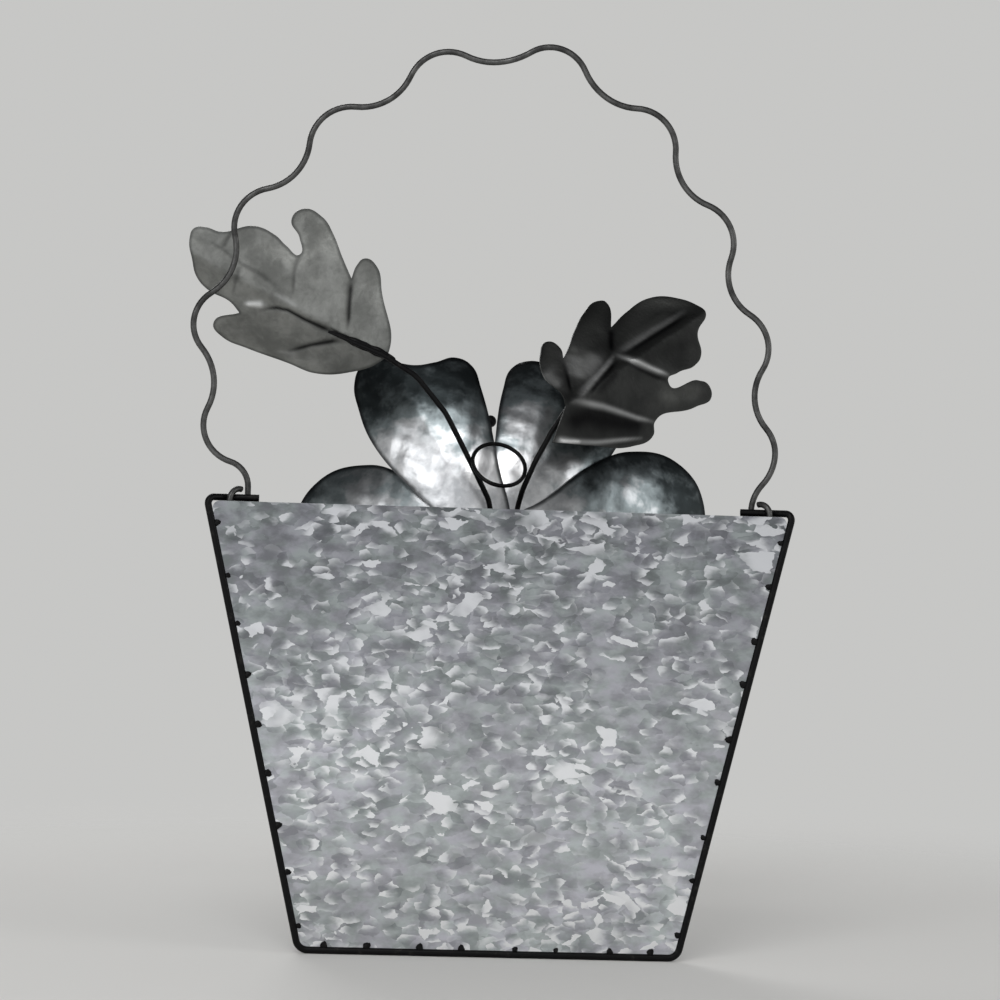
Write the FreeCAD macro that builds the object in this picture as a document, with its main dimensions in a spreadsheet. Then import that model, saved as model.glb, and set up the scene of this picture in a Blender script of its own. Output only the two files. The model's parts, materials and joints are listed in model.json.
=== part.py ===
"""Wall pocket planter: galvanised sheet on a black wire frame, with a wavy wire bail.

Millimetres, +Z up. The flat back panel faces -Y and the bowed pocket wall faces +Y.
The origin is the middle of the bottom plate's underside, which the pocket stands on.
"""
import FreeCAD, Part
import Sketcher
import math
import os

Vector = FreeCAD.Vector
Rotation = FreeCAD.Rotation
Placement = FreeCAD.Placement

# Driving dimensions: name, value, meaning
SIZES = [
    ("top_width", "250", "between the side wires' centres at the panel's top edge"),
    ("bottom_width", "162", "between the side wires' centres at the bottom wire"),
    ("panel_height", "190", "bottom wire's centre to the panel's top edge"),
    ("sheet_thickness", "0.8", "panel, pocket wall and bottom plate"),
    ("edge_wire_diameter", "3", "wire round the panel, the rim and the base"),
    ("corner_radius", "5", "edge wire's bend at the two bottom corners"),
    ("seam_gap", "0.05", "between pieces that are welded or seated"),
    ("arm_length", "22", "edge wire's arms, inwards from the top corners"),
    ("arm_setback", "6", "arms' distance from the panel's middle plane"),
    ("arm_jog", "8", "length over which an arm steps back from the panel"),
    ("arm_bend", "3", "bend radius at the top corners"),
    ("base_depth", "40", "bow of the base wire from the panel's middle plane"),
    ("rim_depth", "62", "bow of the rim wire from the panel's middle plane"),
    ("rim_drop", "6.5", "rim wire's centre below the panel's top edge"),
    ("drain_diameter", "6", "drain holes in the bottom plate"),
    ("drain_margin", "33", "outer drain holes inwards from the bottom corners"),
    ("drain_count", "4", "drain holes"),
    ("weld_diameter", "1.6", "width of a tack weld on the panel"),
    ("weld_length", "4", "length of a tack weld, inwards from the edge wire"),
    ("side_weld_count", "9", "tack welds on each side edge"),
    ("bottom_weld_count", "8", "tack welds on the bottom edge"),
    ("handle_wire_diameter", "2.6", "wire of the bail handle"),
    ("handle_rise", "195.6", "crown of the bail above the arms, at the middle of its waves"),
    ("handle_belt", "52.3", "height of the bail's widest place above the arms"),
    ("handle_overhang", "12.8", "how far the widest place stands out past the eyes"),
    ("handle_fullness", "1.78", "exponent of the bail's arch, 2 for an ellipse"),
    ("handle_lean", "11", "sideways lean of the bail towards -X, half way up"),
    ("wave_count", "10", "waves along the bail"),
    ("wave_height", "4.8", "height of a wave above its middle line"),
    ("wave_crowding", "0.061", "shift of the waves towards the two ends, in waves"),
    ("eye_play", "0.18", "sideways play of an arm in its eye, beyond the running gap"),
    ("eye_turn", "48", "degrees between an eye's plane and the YZ plane"),
    ("eye_inset", "13", "eye's middle inwards from the side wire's corner"),
    ("eye_gap", "0.3", "running gap between an eye and its arm"),
    ("left_shank", "4.8", "straight wire above the left arm before the first wave"),
    ("right_shank", "0.3", "straight wire above the right arm after the last wave"),
    ("eye_open", "75", "degrees of the eye left open beside its shank"),
    ("flower_drop", "16", "flower's hub below the panel's top edge"),
    ("flower_curve", "150", "radius of the inner petals' curve along their axes"),
    ("outer_flower_curve", "130", "radius of the outer petals' curve along their axes"),
    ("petal_spoon", "62", "radius of a petal's curve across its axis"),
    ("upper_petal_angle", "121", "degrees from +X of the left upper petal's axis"),
    ("petal_thickness", "0.6", "sheet of the petals"),
    ("petal_gap", "0.3", "between one petal and the next at the hub"),
    ("petal_root", "7", "radius of a petal's root round the hub"),
    ("upper_petal_length", "100", "hub to the far corner of an upper petal"),
    ("side_petal_radius", "30.5", "round end of the two side petals"),
    ("left_petal_reach", "57", "hub to the middle of the left petal's round end"),
    ("left_petal_angle", "177.5", "degrees from +X"),
    ("right_petal_reach", "67.3", "hub to the middle of the right petal's round end"),
    ("right_petal_angle", "11", "degrees from +X"),
    ("lower_petal_radius", "30", "round end of the lower petal"),
    ("lower_petal_reach", "46", "hub to the middle of the lower petal's round end"),
    ("rivet_diameter", "4", "rivet through the flower's hub and the pocket wall"),
    ("rivet_head_diameter", "8", "rivet's head inside the pocket"),
    ("rivet_head_thickness", "1.4", "rivet's head"),
    ("burr_diameter", "11", "washer under the rivet's head"),
    ("burr_thickness", "0.8", "washer under the rivet's head"),
    ("spacer_diameter", "10", "collar between the pocket wall and the petals"),
    ("boss_diameter", "18", "button that covers the rivet in the flower's face"),
    ("boss_height", "6", "button that covers the rivet in the flower's face"),
    ("pistil_diameter", "1.6", "wire of the pistil"),
    ("pistil_height", "55.6", "pistil's ball above the hub"),
    ("pistil_forward", "14", "pistil's ball in front of the button's face"),
    ("pistil_side", "2", "pistil's ball towards -X"),
    ("pistil_tip_diameter", "5.6", "ball on the pistil"),
    ("stem_diameter", "2.4", "wire of the leaf stems"),
    ("stem_bend", "18", "bend radius along the stems"),
    ("left_stem_foot", "-8", "left stem's foot across, from the middle"),
    ("right_stem_foot", "9", "right stem's foot across, from the middle"),
    ("left_stem_collar", "-1.2", "left stem across where it passes the panel's top edge"),
    ("right_stem_collar", "9.6", "right stem across where it passes the panel's top edge"),
    ("stem_collar_setback", "7", "stems back from the rim wire where they pass the panel's top edge"),
    ("stem_foot_top", "28", "upper end of a stem's welded foot below the panel's top edge"),
    ("stem_foot_length", "24", "welded foot of a stem, down the inside of the pocket wall"),
    ("stem_lap", "27", "stem's run along its leaf's middle fold"),
    ("ring_radius", "12", "middle of the wire in the ring between the stems"),
    ("ring_wire_diameter", "1.8", "wire of the ring"),
    ("ring_side", "0.8", "ring's middle towards +X"),
    ("ring_height", "19.4", "ring's middle above the panel's top edge"),
    ("ring_setback", "12", "ring's middle back from the rim wire"),
    ("ring_tilt", "41", "degrees that the ring leans back from upright"),
    ("ring_cant", "17", "degrees that the ring drops towards +X"),
    ("leaf_length", "99", "leaf from its stem to its tip"),
    ("leaf_thickness", "0.6", "sheet of the leaves"),
    ("leaf_fold", "17.5", "degrees that each half of a leaf folds away from its middle"),
    ("left_leaf_side", "51.3", "left leaf's base towards -X"),
    ("left_leaf_height", "65.7", "left leaf's base above the panel's top edge"),
    ("left_leaf_setback", "20", "left leaf's base back from the rim wire"),
    ("left_leaf_rise", "28.8", "degrees that the left leaf points up from -X"),
    ("left_leaf_roll", "17.5", "degrees that the left leaf rolls to show its upper half"),
    ("right_leaf_side", "31.9", "right leaf's base towards +X"),
    ("right_leaf_height", "48", "right leaf's base above the panel's top edge"),
    ("right_leaf_setback", "16", "right leaf's base back from the rim wire"),
    ("right_leaf_rise", "35", "degrees that the right leaf points up from +X"),
    ("right_leaf_lean", "37", "degrees that the right leaf leans forwards"),
]

# Places worked out from the driving dimensions: name, expression
DERIVED = [
    ("wire_radius", "Sizes.edge_wire_diameter / 2"),
    ("half_sheet", "Sizes.sheet_thickness / 2"),
    ("panel_y", "-Sizes.base_depth / 2"),
    ("base_z", "Sizes.edge_wire_diameter / 2"),
    ("top_z", "Derived.base_z + Sizes.panel_height"),
    ("rim_z", "Derived.top_z - Sizes.rim_drop"),
    ("arm_z", "Derived.top_z + Derived.wire_radius"),
    ("half_top", "Sizes.top_width / 2"),
    ("half_bottom", "Sizes.bottom_width / 2"),
    ("side_slope", "(Derived.half_top - Derived.half_bottom) / Sizes.panel_height"),
    ("half_rim", "Derived.half_top - Derived.side_slope * Sizes.rim_drop"),
    ("sheet_inset", "Derived.wire_radius * sqrt(1 + Derived.side_slope ^ 2)"),
    ("base_radius", "(Derived.half_bottom ^ 2 + Sizes.base_depth ^ 2) / (2 * Sizes.base_depth)"),
    ("rim_radius", "(Derived.half_rim ^ 2 + Sizes.rim_depth ^ 2) / (2 * Sizes.rim_depth)"),
    ("hub_z", "Derived.top_z - Sizes.flower_drop"),
    ("wall_low_z", "Derived.base_z + Derived.wire_radius"),
    ("wall_high_z", "Derived.rim_z - Derived.wire_radius"),
    ("wall_slope", "(Sizes.rim_depth - Sizes.base_depth) / (Derived.wall_high_z - Derived.wall_low_z)"),
    ("hub_depth", "Sizes.base_depth + Derived.wall_slope * (Derived.hub_z - Derived.wall_low_z)"),
    ("flower_back", "Sizes.rim_depth + Derived.wire_radius + Sizes.eye_gap"),
    ("petal_pitch", "Sizes.petal_thickness + Sizes.petal_gap"),
    ("eye_reach", "Sizes.handle_wire_diameter / 2 + Derived.wire_radius + Sizes.eye_gap"),
    ("eye_radius", "(Derived.eye_reach + Sizes.eye_play) / cos(Sizes.eye_turn)"),
    ("flower_face", "Derived.flower_back + 5 * Derived.petal_pitch"
                    " + (Sizes.boss_diameter / 2) ^ 2 / Sizes.petal_spoon / 1.9"),
    ("wall_trim", "Derived.wire_radius * (1 + Derived.side_slope) + Sizes.seam_gap"),
]

doc = FreeCAD.newDocument("WallPocket")
sheet = doc.addObject("Spreadsheet::Sheet", "Sizes")
for row, (alias, value, meaning) in enumerate(SIZES, start=1):
    sheet.set("A%d" % row, meaning)
    sheet.set("B%d" % row, value)
    sheet.setAlias("B%d" % row, alias)
doc.recompute()
derived = doc.addObject("App::VarSet", "Derived")
for name, expression in DERIVED:
    derived.addProperty("App::PropertyFloat", name)
    derived.setExpression(name, expression)
    doc.recompute()


def size(name):
    """Value of one driving dimension."""
    return float(sheet.get(name))


def named(kind, label):
    """New document object whose Label is its node's name."""
    piece = doc.addObject(kind, label)
    piece.Label = label
    return piece


def bind(piece, **expressions):
    """Binds properties to expressions; two underscores stand for a dot."""
    for path, expression in expressions.items():
        piece.setExpression(path.replace("__", "."), expression)


def behind_panel(x, setback, z):
    """Point at a distance behind the panel's middle plane."""
    return Vector(x, derived.panel_y + setback, z)


# Sketches and turned pieces

def new_sketch(body, role, name):
    """Sketch on one of the body's own origin planes."""
    sketch = body.newObject("Sketcher::SketchObject", name)
    planes = [feature for feature in body.Origin.OriginFeatures if feature.Role == role]
    sketch.AttachmentSupport = [(planes[0], "")]
    sketch.MapMode = "FlatFace"
    return sketch


def bound_constraint(sketch, kind, *arguments):
    """Adds a dimension to a sketch and binds it to the last argument, an expression."""
    index = sketch.addConstraint(Sketcher.Constraint(kind, *arguments[:-1]))
    sketch.setExpression("Constraints[%d]" % index, arguments[-1])


def add_corners(sketch, corners):
    """Closed loop of straight lines through corners that are pairs of expressions."""
    first = sketch.GeometryCount
    count = len(corners)
    turn = 2 * math.pi / count
    start = [Vector(10 * math.cos(i * turn), 10 * math.sin(i * turn), 0) for i in range(count)]
    for i in range(count):
        sketch.addGeometry(Part.LineSegment(start[i], start[(i + 1) % count]))
    for i, (across, along) in enumerate(corners):
        after = first + (i + 1) % count
        sketch.addConstraint(Sketcher.Constraint("Coincident", first + i, 2, after, 1))
        bound_constraint(sketch, "DistanceX", -1, 1, first + i, 1, start[i].x, across)
        bound_constraint(sketch, "DistanceY", -1, 1, first + i, 1, start[i].y, along)


def add_circle(sketch, across, along, radius):
    """Circle whose middle and radius are expressions."""
    index = sketch.addGeometry(Part.Circle(Vector(1, 1, 0), Vector(0, 0, 1), 5))
    bound_constraint(sketch, "DistanceX", -1, 1, index, 3, 1, across)
    bound_constraint(sketch, "DistanceY", -1, 1, index, 3, 1, along)
    bound_constraint(sketch, "Radius", index, 5, radius)


def cut_through(body, sketch, name):
    """Pocket through the whole body, both ways from its sketch."""
    pocket = body.newObject("PartDesign::Pocket", name)
    pocket.Profile = sketch
    pocket.Type = "ThroughAll"
    pocket.Midplane = True
    return pocket


def turned_piece(label, corners, setback):
    """Piece turned about the flower's axis: corners are radius and distance along +Y."""
    body = named("PartDesign::Body", label)
    profile = new_sketch(body, "XY_Plane", label + "_profile")
    add_corners(profile, corners)
    turning = body.newObject("PartDesign::Revolution", label + "_turning")
    turning.Profile = profile
    turning.ReferenceAxis = (profile, ["V_Axis"])
    turning.Angle = 360
    bind(body, Placement__Base__y="Derived.panel_y + " + setback, Placement__Base__z="Derived.hub_z")
    return body


# Wires

def rounded_path(points, bend):
    """Straight runs through the points, joined by tangent arcs."""
    edges = []
    start = points[0]
    for before, corner, after in zip(points, points[1:], points[2:]):
        back = (before - corner).normalize()
        ahead = (after - corner).normalize()
        half_turn = (math.pi - back.getAngle(ahead)) / 2
        room = 0.45 * min((before - corner).Length, (after - corner).Length)
        radius = min(bend, room / math.tan(half_turn))
        tangent = radius * math.tan(half_turn)
        inner = (back + ahead).normalize()
        nearest = corner + inner * (radius / math.cos(half_turn) - radius)
        arc_start = corner + back * tangent
        arc_end = corner + ahead * tangent
        edges.append(Part.LineSegment(start, arc_start).toShape())
        edges.append(Part.Arc(arc_start, nearest, arc_end).toShape())
        start = arc_end
    edges.append(Part.LineSegment(start, points[-1]).toShape())
    return Part.Wire(edges)


def tangent_arc(start, direction, end):
    """Arc from a start with a given direction to an end."""
    chord = end - start
    along = Vector(chord).normalize()
    side = direction - along * direction.dot(along)
    if side.Length < 1e-6:
        return Part.LineSegment(start, end).toShape()
    bulge = chord.Length / 2 * math.tan(direction.getAngle(along) / 2)
    middle = (start + end) * 0.5 + side.normalize() * bulge
    return Part.Arc(start, middle, end).toShape()


def biarc(start, start_direction, end, end_direction):
    """Two tangent arcs between two points with given directions."""
    chord = end - start
    both = start_direction + end_direction
    spread = 2 * (1 - start_direction.dot(end_direction))
    lean = chord.dot(both)
    if spread < 1e-6:
        reach = chord.dot(chord) / (2 * lean)
    else:
        reach = (math.sqrt(lean ** 2 + spread * chord.dot(chord)) - lean) / spread
    joint = (start + end + (start_direction - end_direction) * reach) * 0.5
    first = tangent_arc(start, start_direction, joint)
    second = tangent_arc(end, end_direction * -1, joint)
    return [first, second]


def bent_wire(label, path, diameter):
    """Round wire of a bound diameter swept along a path of lines and arcs."""
    spine = named("Part::Feature", label + "_path")
    spine.Shape = path
    section = named("Part::Circle", label + "_section")
    bind(section, Radius=diameter + " / 2")
    first = path.OrderedEdges[0]
    begin = path.OrderedVertexes[0].Point
    at_begin = first.ParameterRange[0]
    if (first.valueAt(at_begin) - begin).Length > 1e-6:
        at_begin = first.ParameterRange[1]
    section.Placement = Placement(begin, Rotation(Vector(0, 0, 1), first.tangentAt(at_begin)))
    wire = named("Part::Sweep", label)
    wire.Sections = [section]
    wire.Spine = (spine, ["Edge%d" % (i + 1) for i in range(len(path.Edges))])
    wire.Solid = True
    wire.Frenet = False
    return wire


def end_share(radius, depth, half_width, trim):
    """Sine of half the arc's angle, once a trim is cut from the arc's ends."""
    return "((%s - %s * (%s - %s) / %s) / %s)" % (half_width, trim, radius, depth, radius, radius)


def bowed_wire(label, radius, depth, half_width, height, trim):
    """Arc of wire from side to side, bowed forwards, with both ends cut short by a trim."""
    wire = named("Part::Torus", label)
    end = "asin(%s)" % end_share(radius, depth, half_width, trim)
    bind(wire, Radius1=radius, Radius2="Derived.wire_radius", Angle3="2 * " + end)
    bind(wire, Placement__Base__y="Derived.panel_y + %s - %s" % (depth, radius))
    bind(wire, Placement__Base__z=height)
    wire.Placement.Rotation = Rotation(Vector(0, 0, 1), 1)
    bind(wire, Placement__Rotation__Angle="90 deg - " + end)
    return wire


# Flat outlines

def belt_face(circles):
    """Face inside a belt drawn round circles (x, y, radius) in counter-clockwise order."""
    count = len(circles)
    outward = []
    for i, (x, y, radius) in enumerate(circles):
        next_x, next_y, next_radius = circles[(i + 1) % count]
        span = math.hypot(next_x - x, next_y - y)
        ahead = math.atan2(next_y - y, next_x - x)
        outward.append(ahead - math.acos((radius - next_radius) / span))
    edges = []
    for i, (x, y, radius) in enumerate(circles):
        first = outward[i - 1]
        last = outward[i]
        while last < first:
            last += 2 * math.pi
        rim = [Vector(x + radius * math.cos(a), y + radius * math.sin(a), 0)
               for a in (first, (first + last) / 2, last)]
        edges.append(Part.Arc(*rim).toShape())
        next_x, next_y, next_radius = circles[(i + 1) % count]
        landing = Vector(next_x + next_radius * math.cos(last), next_y + next_radius * math.sin(last), 0)
        edges.append(Part.LineSegment(rim[-1], landing).toShape())
    return Part.Face(Part.Wire(edges))


def joined_face(belts):
    """One face from overlapping belts."""
    first, *others = [belt_face(circles).extrude(Vector(0, 0, 1)) for circles in belts]
    whole = first.multiFuse(others).removeSplitter() if others else first
    flat = [face for face in whole.Faces if face.BoundBox.ZMax < 1e-6]
    if len(flat) != 1:
        raise RuntimeError("an outline has %d faces" % len(flat))
    return flat[0]


def mirrored(belts):
    """The same belts on the other side of the Y axis."""
    return [[(-x, y, radius) for x, y, radius in reversed(circles)] for circles in belts]


# Back panel, pocket wall and bottom plate

def make_back_panel():
    """Flat tapered panel whose edges meet the edge wire, with its corners rounded."""
    body = named("PartDesign::Body", "back_panel")
    outline = new_sketch(body, "XZ_Plane", "panel_outline")
    low = "Derived.base_z + Derived.wire_radius + Sizes.seam_gap"
    low_half = "(Derived.half_bottom - Derived.sheet_inset - Sizes.seam_gap" \
               " + Derived.side_slope * (Derived.wire_radius + Sizes.seam_gap))"
    high_half = "(Derived.half_top - Derived.sheet_inset - Sizes.seam_gap)"
    add_corners(outline, [("-" + low_half, low), (low_half, low),
                          (high_half, "Derived.top_z"), ("-" + high_half, "Derived.top_z")])
    pad = body.newObject("PartDesign::Pad", "panel_sheet")
    pad.Profile = outline
    pad.Midplane = True
    bind(pad, Length="Sizes.sheet_thickness")
    bind(body, Placement__Base__y="Derived.panel_y")
    doc.recompute()
    middle_z = (derived.base_z + derived.top_z) / 2
    for name, at_top, radius in (("panel_low_corners", False, "Sizes.corner_radius - Derived.wire_radius"),
                                 ("panel_high_corners", True, "Sizes.arm_bend")):
        base = body.Tip
        corners = ["Edge%d" % (i + 1) for i, edge in enumerate(base.Shape.Edges)
                   if abs(edge.BoundBox.XLength) < 1e-6 and abs(edge.BoundBox.ZLength) < 1e-6
                   and edge.Curve.TypeId == "Part::GeomLine"
                   and abs(abs(edge.CenterOfMass.z - middle_z) - size("panel_height") / 2)
                   < size("edge_wire_diameter") and (edge.CenterOfMass.z > middle_z) == at_top]
        fillet = body.newObject("PartDesign::Fillet", name)
        fillet.Base = (base, corners)
        bind(fillet, Radius=radius)
        doc.recompute()
    return body


def add_arc_band(sketch, centre_y, outer_radius, inner_radius, share):
    """Curved strip between two arcs about a point of the Y axis, as far as a sine's share on each side."""
    arcs = []
    for radius in (105, 95):
        circle = Part.Circle(Vector(0, -60, 0), Vector(0, 0, 1), radius)
        arcs.append(Part.ArcOfCircle(circle, math.radians(40), math.radians(140)))
    outer, inner = arcs
    sketch.addGeometry(outer)
    sketch.addGeometry(inner)
    sketch.addGeometry(Part.LineSegment(outer.StartPoint, inner.StartPoint))
    sketch.addGeometry(Part.LineSegment(outer.EndPoint, inner.EndPoint))
    for line, end in ((2, 1), (3, 2)):
        sketch.addConstraint(Sketcher.Constraint("Coincident", line, 1, 0, end))
        sketch.addConstraint(Sketcher.Constraint("Coincident", line, 2, 1, end))
    sketch.addConstraint(Sketcher.Constraint("PointOnObject", 0, 3, -2))
    sketch.addConstraint(Sketcher.Constraint("Coincident", 0, 3, 1, 3))
    bound_constraint(sketch, "DistanceY", -1, 1, 0, 3, -60, centre_y)
    for arc, radius, drawn in ((0, outer_radius, outer), (1, inner_radius, inner)):
        bound_constraint(sketch, "Radius", arc, drawn.Radius, radius)
        bound_constraint(sketch, "DistanceX", -1, 1, arc, 1, drawn.StartPoint.x, "%s * %s" % (radius, share))
        bound_constraint(sketch, "DistanceX", -1, 1, arc, 2, drawn.EndPoint.x, "-%s * %s" % (radius, share))


def add_bowed_edge(sketch, radius, depth, half_width):
    """Edge of the bowed sheet between the side wires."""
    add_arc_band(sketch, "%s - %s" % (depth, radius), "(%s + Derived.half_sheet)" % radius,
                 "(%s - Derived.half_sheet)" % radius, end_share(radius, depth, half_width, "Derived.wall_trim"))


def make_front_wall():
    """Bowed pocket wall between the base wire and the rim wire."""
    body = named("PartDesign::Body", "front_wall")
    low = new_sketch(body, "XY_Plane", "wall_low_edge")
    add_bowed_edge(low, "Derived.base_radius", "Sizes.base_depth", "Derived.half_bottom")
    bind(low, AttachmentOffset__Base__z="Derived.wall_low_z + Sizes.seam_gap")
    high = new_sketch(body, "XY_Plane", "wall_high_edge")
    add_bowed_edge(high, "Derived.rim_radius", "Sizes.rim_depth", "Derived.half_rim")
    bind(high, AttachmentOffset__Base__z="Derived.wall_high_z - Sizes.seam_gap")
    doc.recompute()
    loft = body.newObject("PartDesign::AdditiveLoft", "wall_sheet")
    loft.Profile = low
    loft.Sections = [high]
    loft.Ruled = True
    bind(body, Placement__Base__y="Derived.panel_y")
    doc.recompute()
    hole = new_sketch(body, "XZ_Plane", "rivet_hole_circle")
    add_circle(hole, "0", "Derived.hub_z", "Sizes.rivet_diameter / 2 + Sizes.seam_gap")
    cut_through(body, hole, "rivet_hole")
    doc.recompute()
    notch = new_sketch(body, "XZ_Plane", "corner_notch_outline")
    inner = "(Derived.half_bottom - Sizes.corner_radius)"
    outer = "(Derived.half_bottom + Sizes.corner_radius)"
    top = "Derived.base_z + Sizes.corner_radius + Derived.wire_radius"
    for sign in ("", "-"):
        add_corners(notch, [(sign + inner, "0"), (sign + outer, "0"), (sign + outer, top), (sign + inner, top)])
    cut_through(body, notch, "corner_notches")
    return body


def make_bottom_plate():
    """D-shaped plate inside the bottom wires, with a row of drain holes."""
    body = named("PartDesign::Body", "bottom_plate")
    outline = new_sketch(body, "XY_Plane", "plate_outline")
    wire_inset = "sqrt(Derived.wire_radius ^ 2 - (Derived.wire_radius - Sizes.sheet_thickness) ^ 2)"
    circle = Part.Circle(Vector(0, -60, 0), Vector(0, 0, 1), 100)
    outline.addGeometry(Part.ArcOfCircle(circle, math.radians(37), math.radians(143)))
    arc = outline.Geometry[0]
    outline.addGeometry(Part.LineSegment(arc.EndPoint, arc.StartPoint))
    outline.addConstraint(Sketcher.Constraint("Coincident", 0, 2, 1, 1))
    outline.addConstraint(Sketcher.Constraint("Coincident", 1, 2, 0, 1))
    outline.addConstraint(Sketcher.Constraint("PointOnObject", 0, 3, -2))
    outline.addConstraint(Sketcher.Constraint("Horizontal", 1))
    bound_constraint(outline, "Radius", 0, 100, "Derived.base_radius - %s - Sizes.seam_gap" % wire_inset)
    bound_constraint(outline, "DistanceY", -1, 1, 0, 3, -60, "Sizes.base_depth - Derived.base_radius")
    bound_constraint(outline, "DistanceY", -1, 1, 1, 1, 1, wire_inset + " + Sizes.seam_gap")
    pad = body.newObject("PartDesign::Pad", "plate_sheet")
    pad.Profile = outline
    bind(pad, Length="Sizes.sheet_thickness")
    bind(body, Placement__Base__y="Derived.panel_y")
    doc.recompute()
    drain = new_sketch(body, "XY_Plane", "drain_circle")
    row_length = "(Sizes.bottom_width - 2 * Sizes.drain_margin)"
    add_circle(drain, "-%s / 2" % row_length, "-Derived.panel_y", "Sizes.drain_diameter / 2")
    hole = cut_through(body, drain, "drain_hole")
    doc.recompute()
    row = body.newObject("PartDesign::LinearPattern", "drain_row")
    row.Originals = [hole]
    row.Direction = (drain, ["H_Axis"])
    bind(row, Length=row_length, Occurrences="Sizes.drain_count")
    body.Tip = row
    return body


# Wires of the frame and the tack welds

def make_edge_wire():
    """Wire down one side, along the bottom and up the other, with an arm at each top end."""
    half_top = derived.half_top + derived.side_slope * derived.wire_radius
    half_bottom = derived.half_bottom
    arm_z = derived.arm_z
    setback = size("arm_setback")
    right = [behind_panel(half_bottom, 0, derived.base_z),
             behind_panel(half_top, 0, arm_z),
             behind_panel(half_top - size("arm_jog"), setback, arm_z),
             behind_panel(half_top - size("arm_length"), setback, arm_z)]
    left = [Vector(-point.x, point.y, point.z) for point in reversed(right)]
    right_middle = (right[0] + right[1]) * 0.5
    left_middle = Vector(-right_middle.x, right_middle.y, right_middle.z)
    lower = rounded_path([left_middle, left[-1], right[0], right_middle], size("corner_radius"))
    upper_right = rounded_path([right_middle] + right[1:], size("arm_bend"))
    upper_left = rounded_path(left[:-1] + [left_middle], size("arm_bend"))
    edges = upper_left.Edges + lower.Edges + upper_right.Edges
    return bent_wire("edge_wire", Part.Wire(edges), "Sizes.edge_wire_diameter")


def make_panel_welds():
    """Tack welds on the panel's outer face, each running inwards from the edge wire."""
    face_y = derived.panel_y - derived.half_sheet
    start = derived.wire_radius + size("seam_gap")
    lean = math.atan(derived.side_slope)
    seats = []
    for sign in (1, -1):
        inward = Vector(-sign * math.cos(lean), 0, math.sin(lean))
        count = int(size("side_weld_count"))
        for i in range(count):
            rise = size("panel_height") * (i + 0.5) / count
            on_wire = Vector(sign * (derived.half_bottom + derived.side_slope * rise), face_y,
                             derived.base_z + rise)
            seats.append((on_wire + inward * start, inward))
    count = int(size("bottom_weld_count"))
    for i in range(count):
        x = size("bottom_width") * ((i + 0.5) / count - 0.5)
        seats.append((Vector(x, face_y, derived.base_z + start), Vector(0, 0, 1)))
    welds = []
    for i, (seat, inward) in enumerate(seats):
        weld = named("Part::Cylinder", "panel_weld_%d" % (i + 1))
        bind(weld, Radius="Sizes.weld_diameter / 2", Height="Sizes.weld_length")
        weld.Angle = 180
        outward = Vector(0, -1, 0)
        weld.Placement = Placement(seat, Rotation(outward.cross(inward), outward, inward, "ZYX"))
        welds.append(weld)
    group = named("Part::Compound", "panel_welds")
    group.Links = welds
    return group


# Bail handle

def bail_middle_line(steps):
    """Points up, over and down the bail's arch, before its waves, about the arms' height."""
    shank_x = derived.half_top - size("eye_inset") - derived.eye_radius * math.sin(math.radians(size("eye_turn")))
    half = shank_x + size("handle_overhang")
    belt = size("handle_belt")
    crown = size("handle_rise") - belt
    power = 2 / size("handle_fullness")
    left_end, right_end = [math.pi - math.acos(((belt - size(shank)) / crown) ** (1 / power))
                           for shank in ("left_shank", "right_shank")]
    points = []
    for i in range(steps + 1):
        angle = -left_end + (left_end + right_end) * i / steps
        x = math.copysign(abs(math.sin(angle)) ** power, angle) * half
        z = belt + math.copysign(abs(math.cos(angle)) ** power, math.cos(angle)) * crown
        lean = size("handle_lean") * math.sin(math.pi * z / size("handle_rise"))
        points.append(Vector(x - lean, 0, z))
    return points, shank_x


def eye_edges(sign, shank_top, arm_y):
    """Open eye round an arm and the straight shank above it."""
    turn = math.radians(size("eye_turn"))
    radius = derived.eye_radius
    across = Vector(-sign * math.sin(turn), math.cos(turn), 0)
    up = Vector(0, 0, 1)
    width = radius * math.cos(turn)
    sag = radius * math.sin(turn) * math.sqrt(1 - (derived.eye_reach / width) ** 2)
    centre = Vector(sign * (derived.half_top - size("eye_inset")), arm_y, derived.arm_z - sag)

    def on_eye(degrees):
        angle = math.radians(degrees)
        return centre + across * (radius * math.cos(angle)) + up * (radius * math.sin(angle))

    begin = size("eye_open")
    stops = [begin + (360 - begin) * i / 6 for i in range(7)]
    arcs = [Part.Arc(on_eye(stops[i]), on_eye(stops[i + 1]), on_eye(stops[i + 2])).toShape() for i in (0, 2, 4)]
    return arcs + [Part.LineSegment(on_eye(360), shank_top).toShape()]


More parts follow.
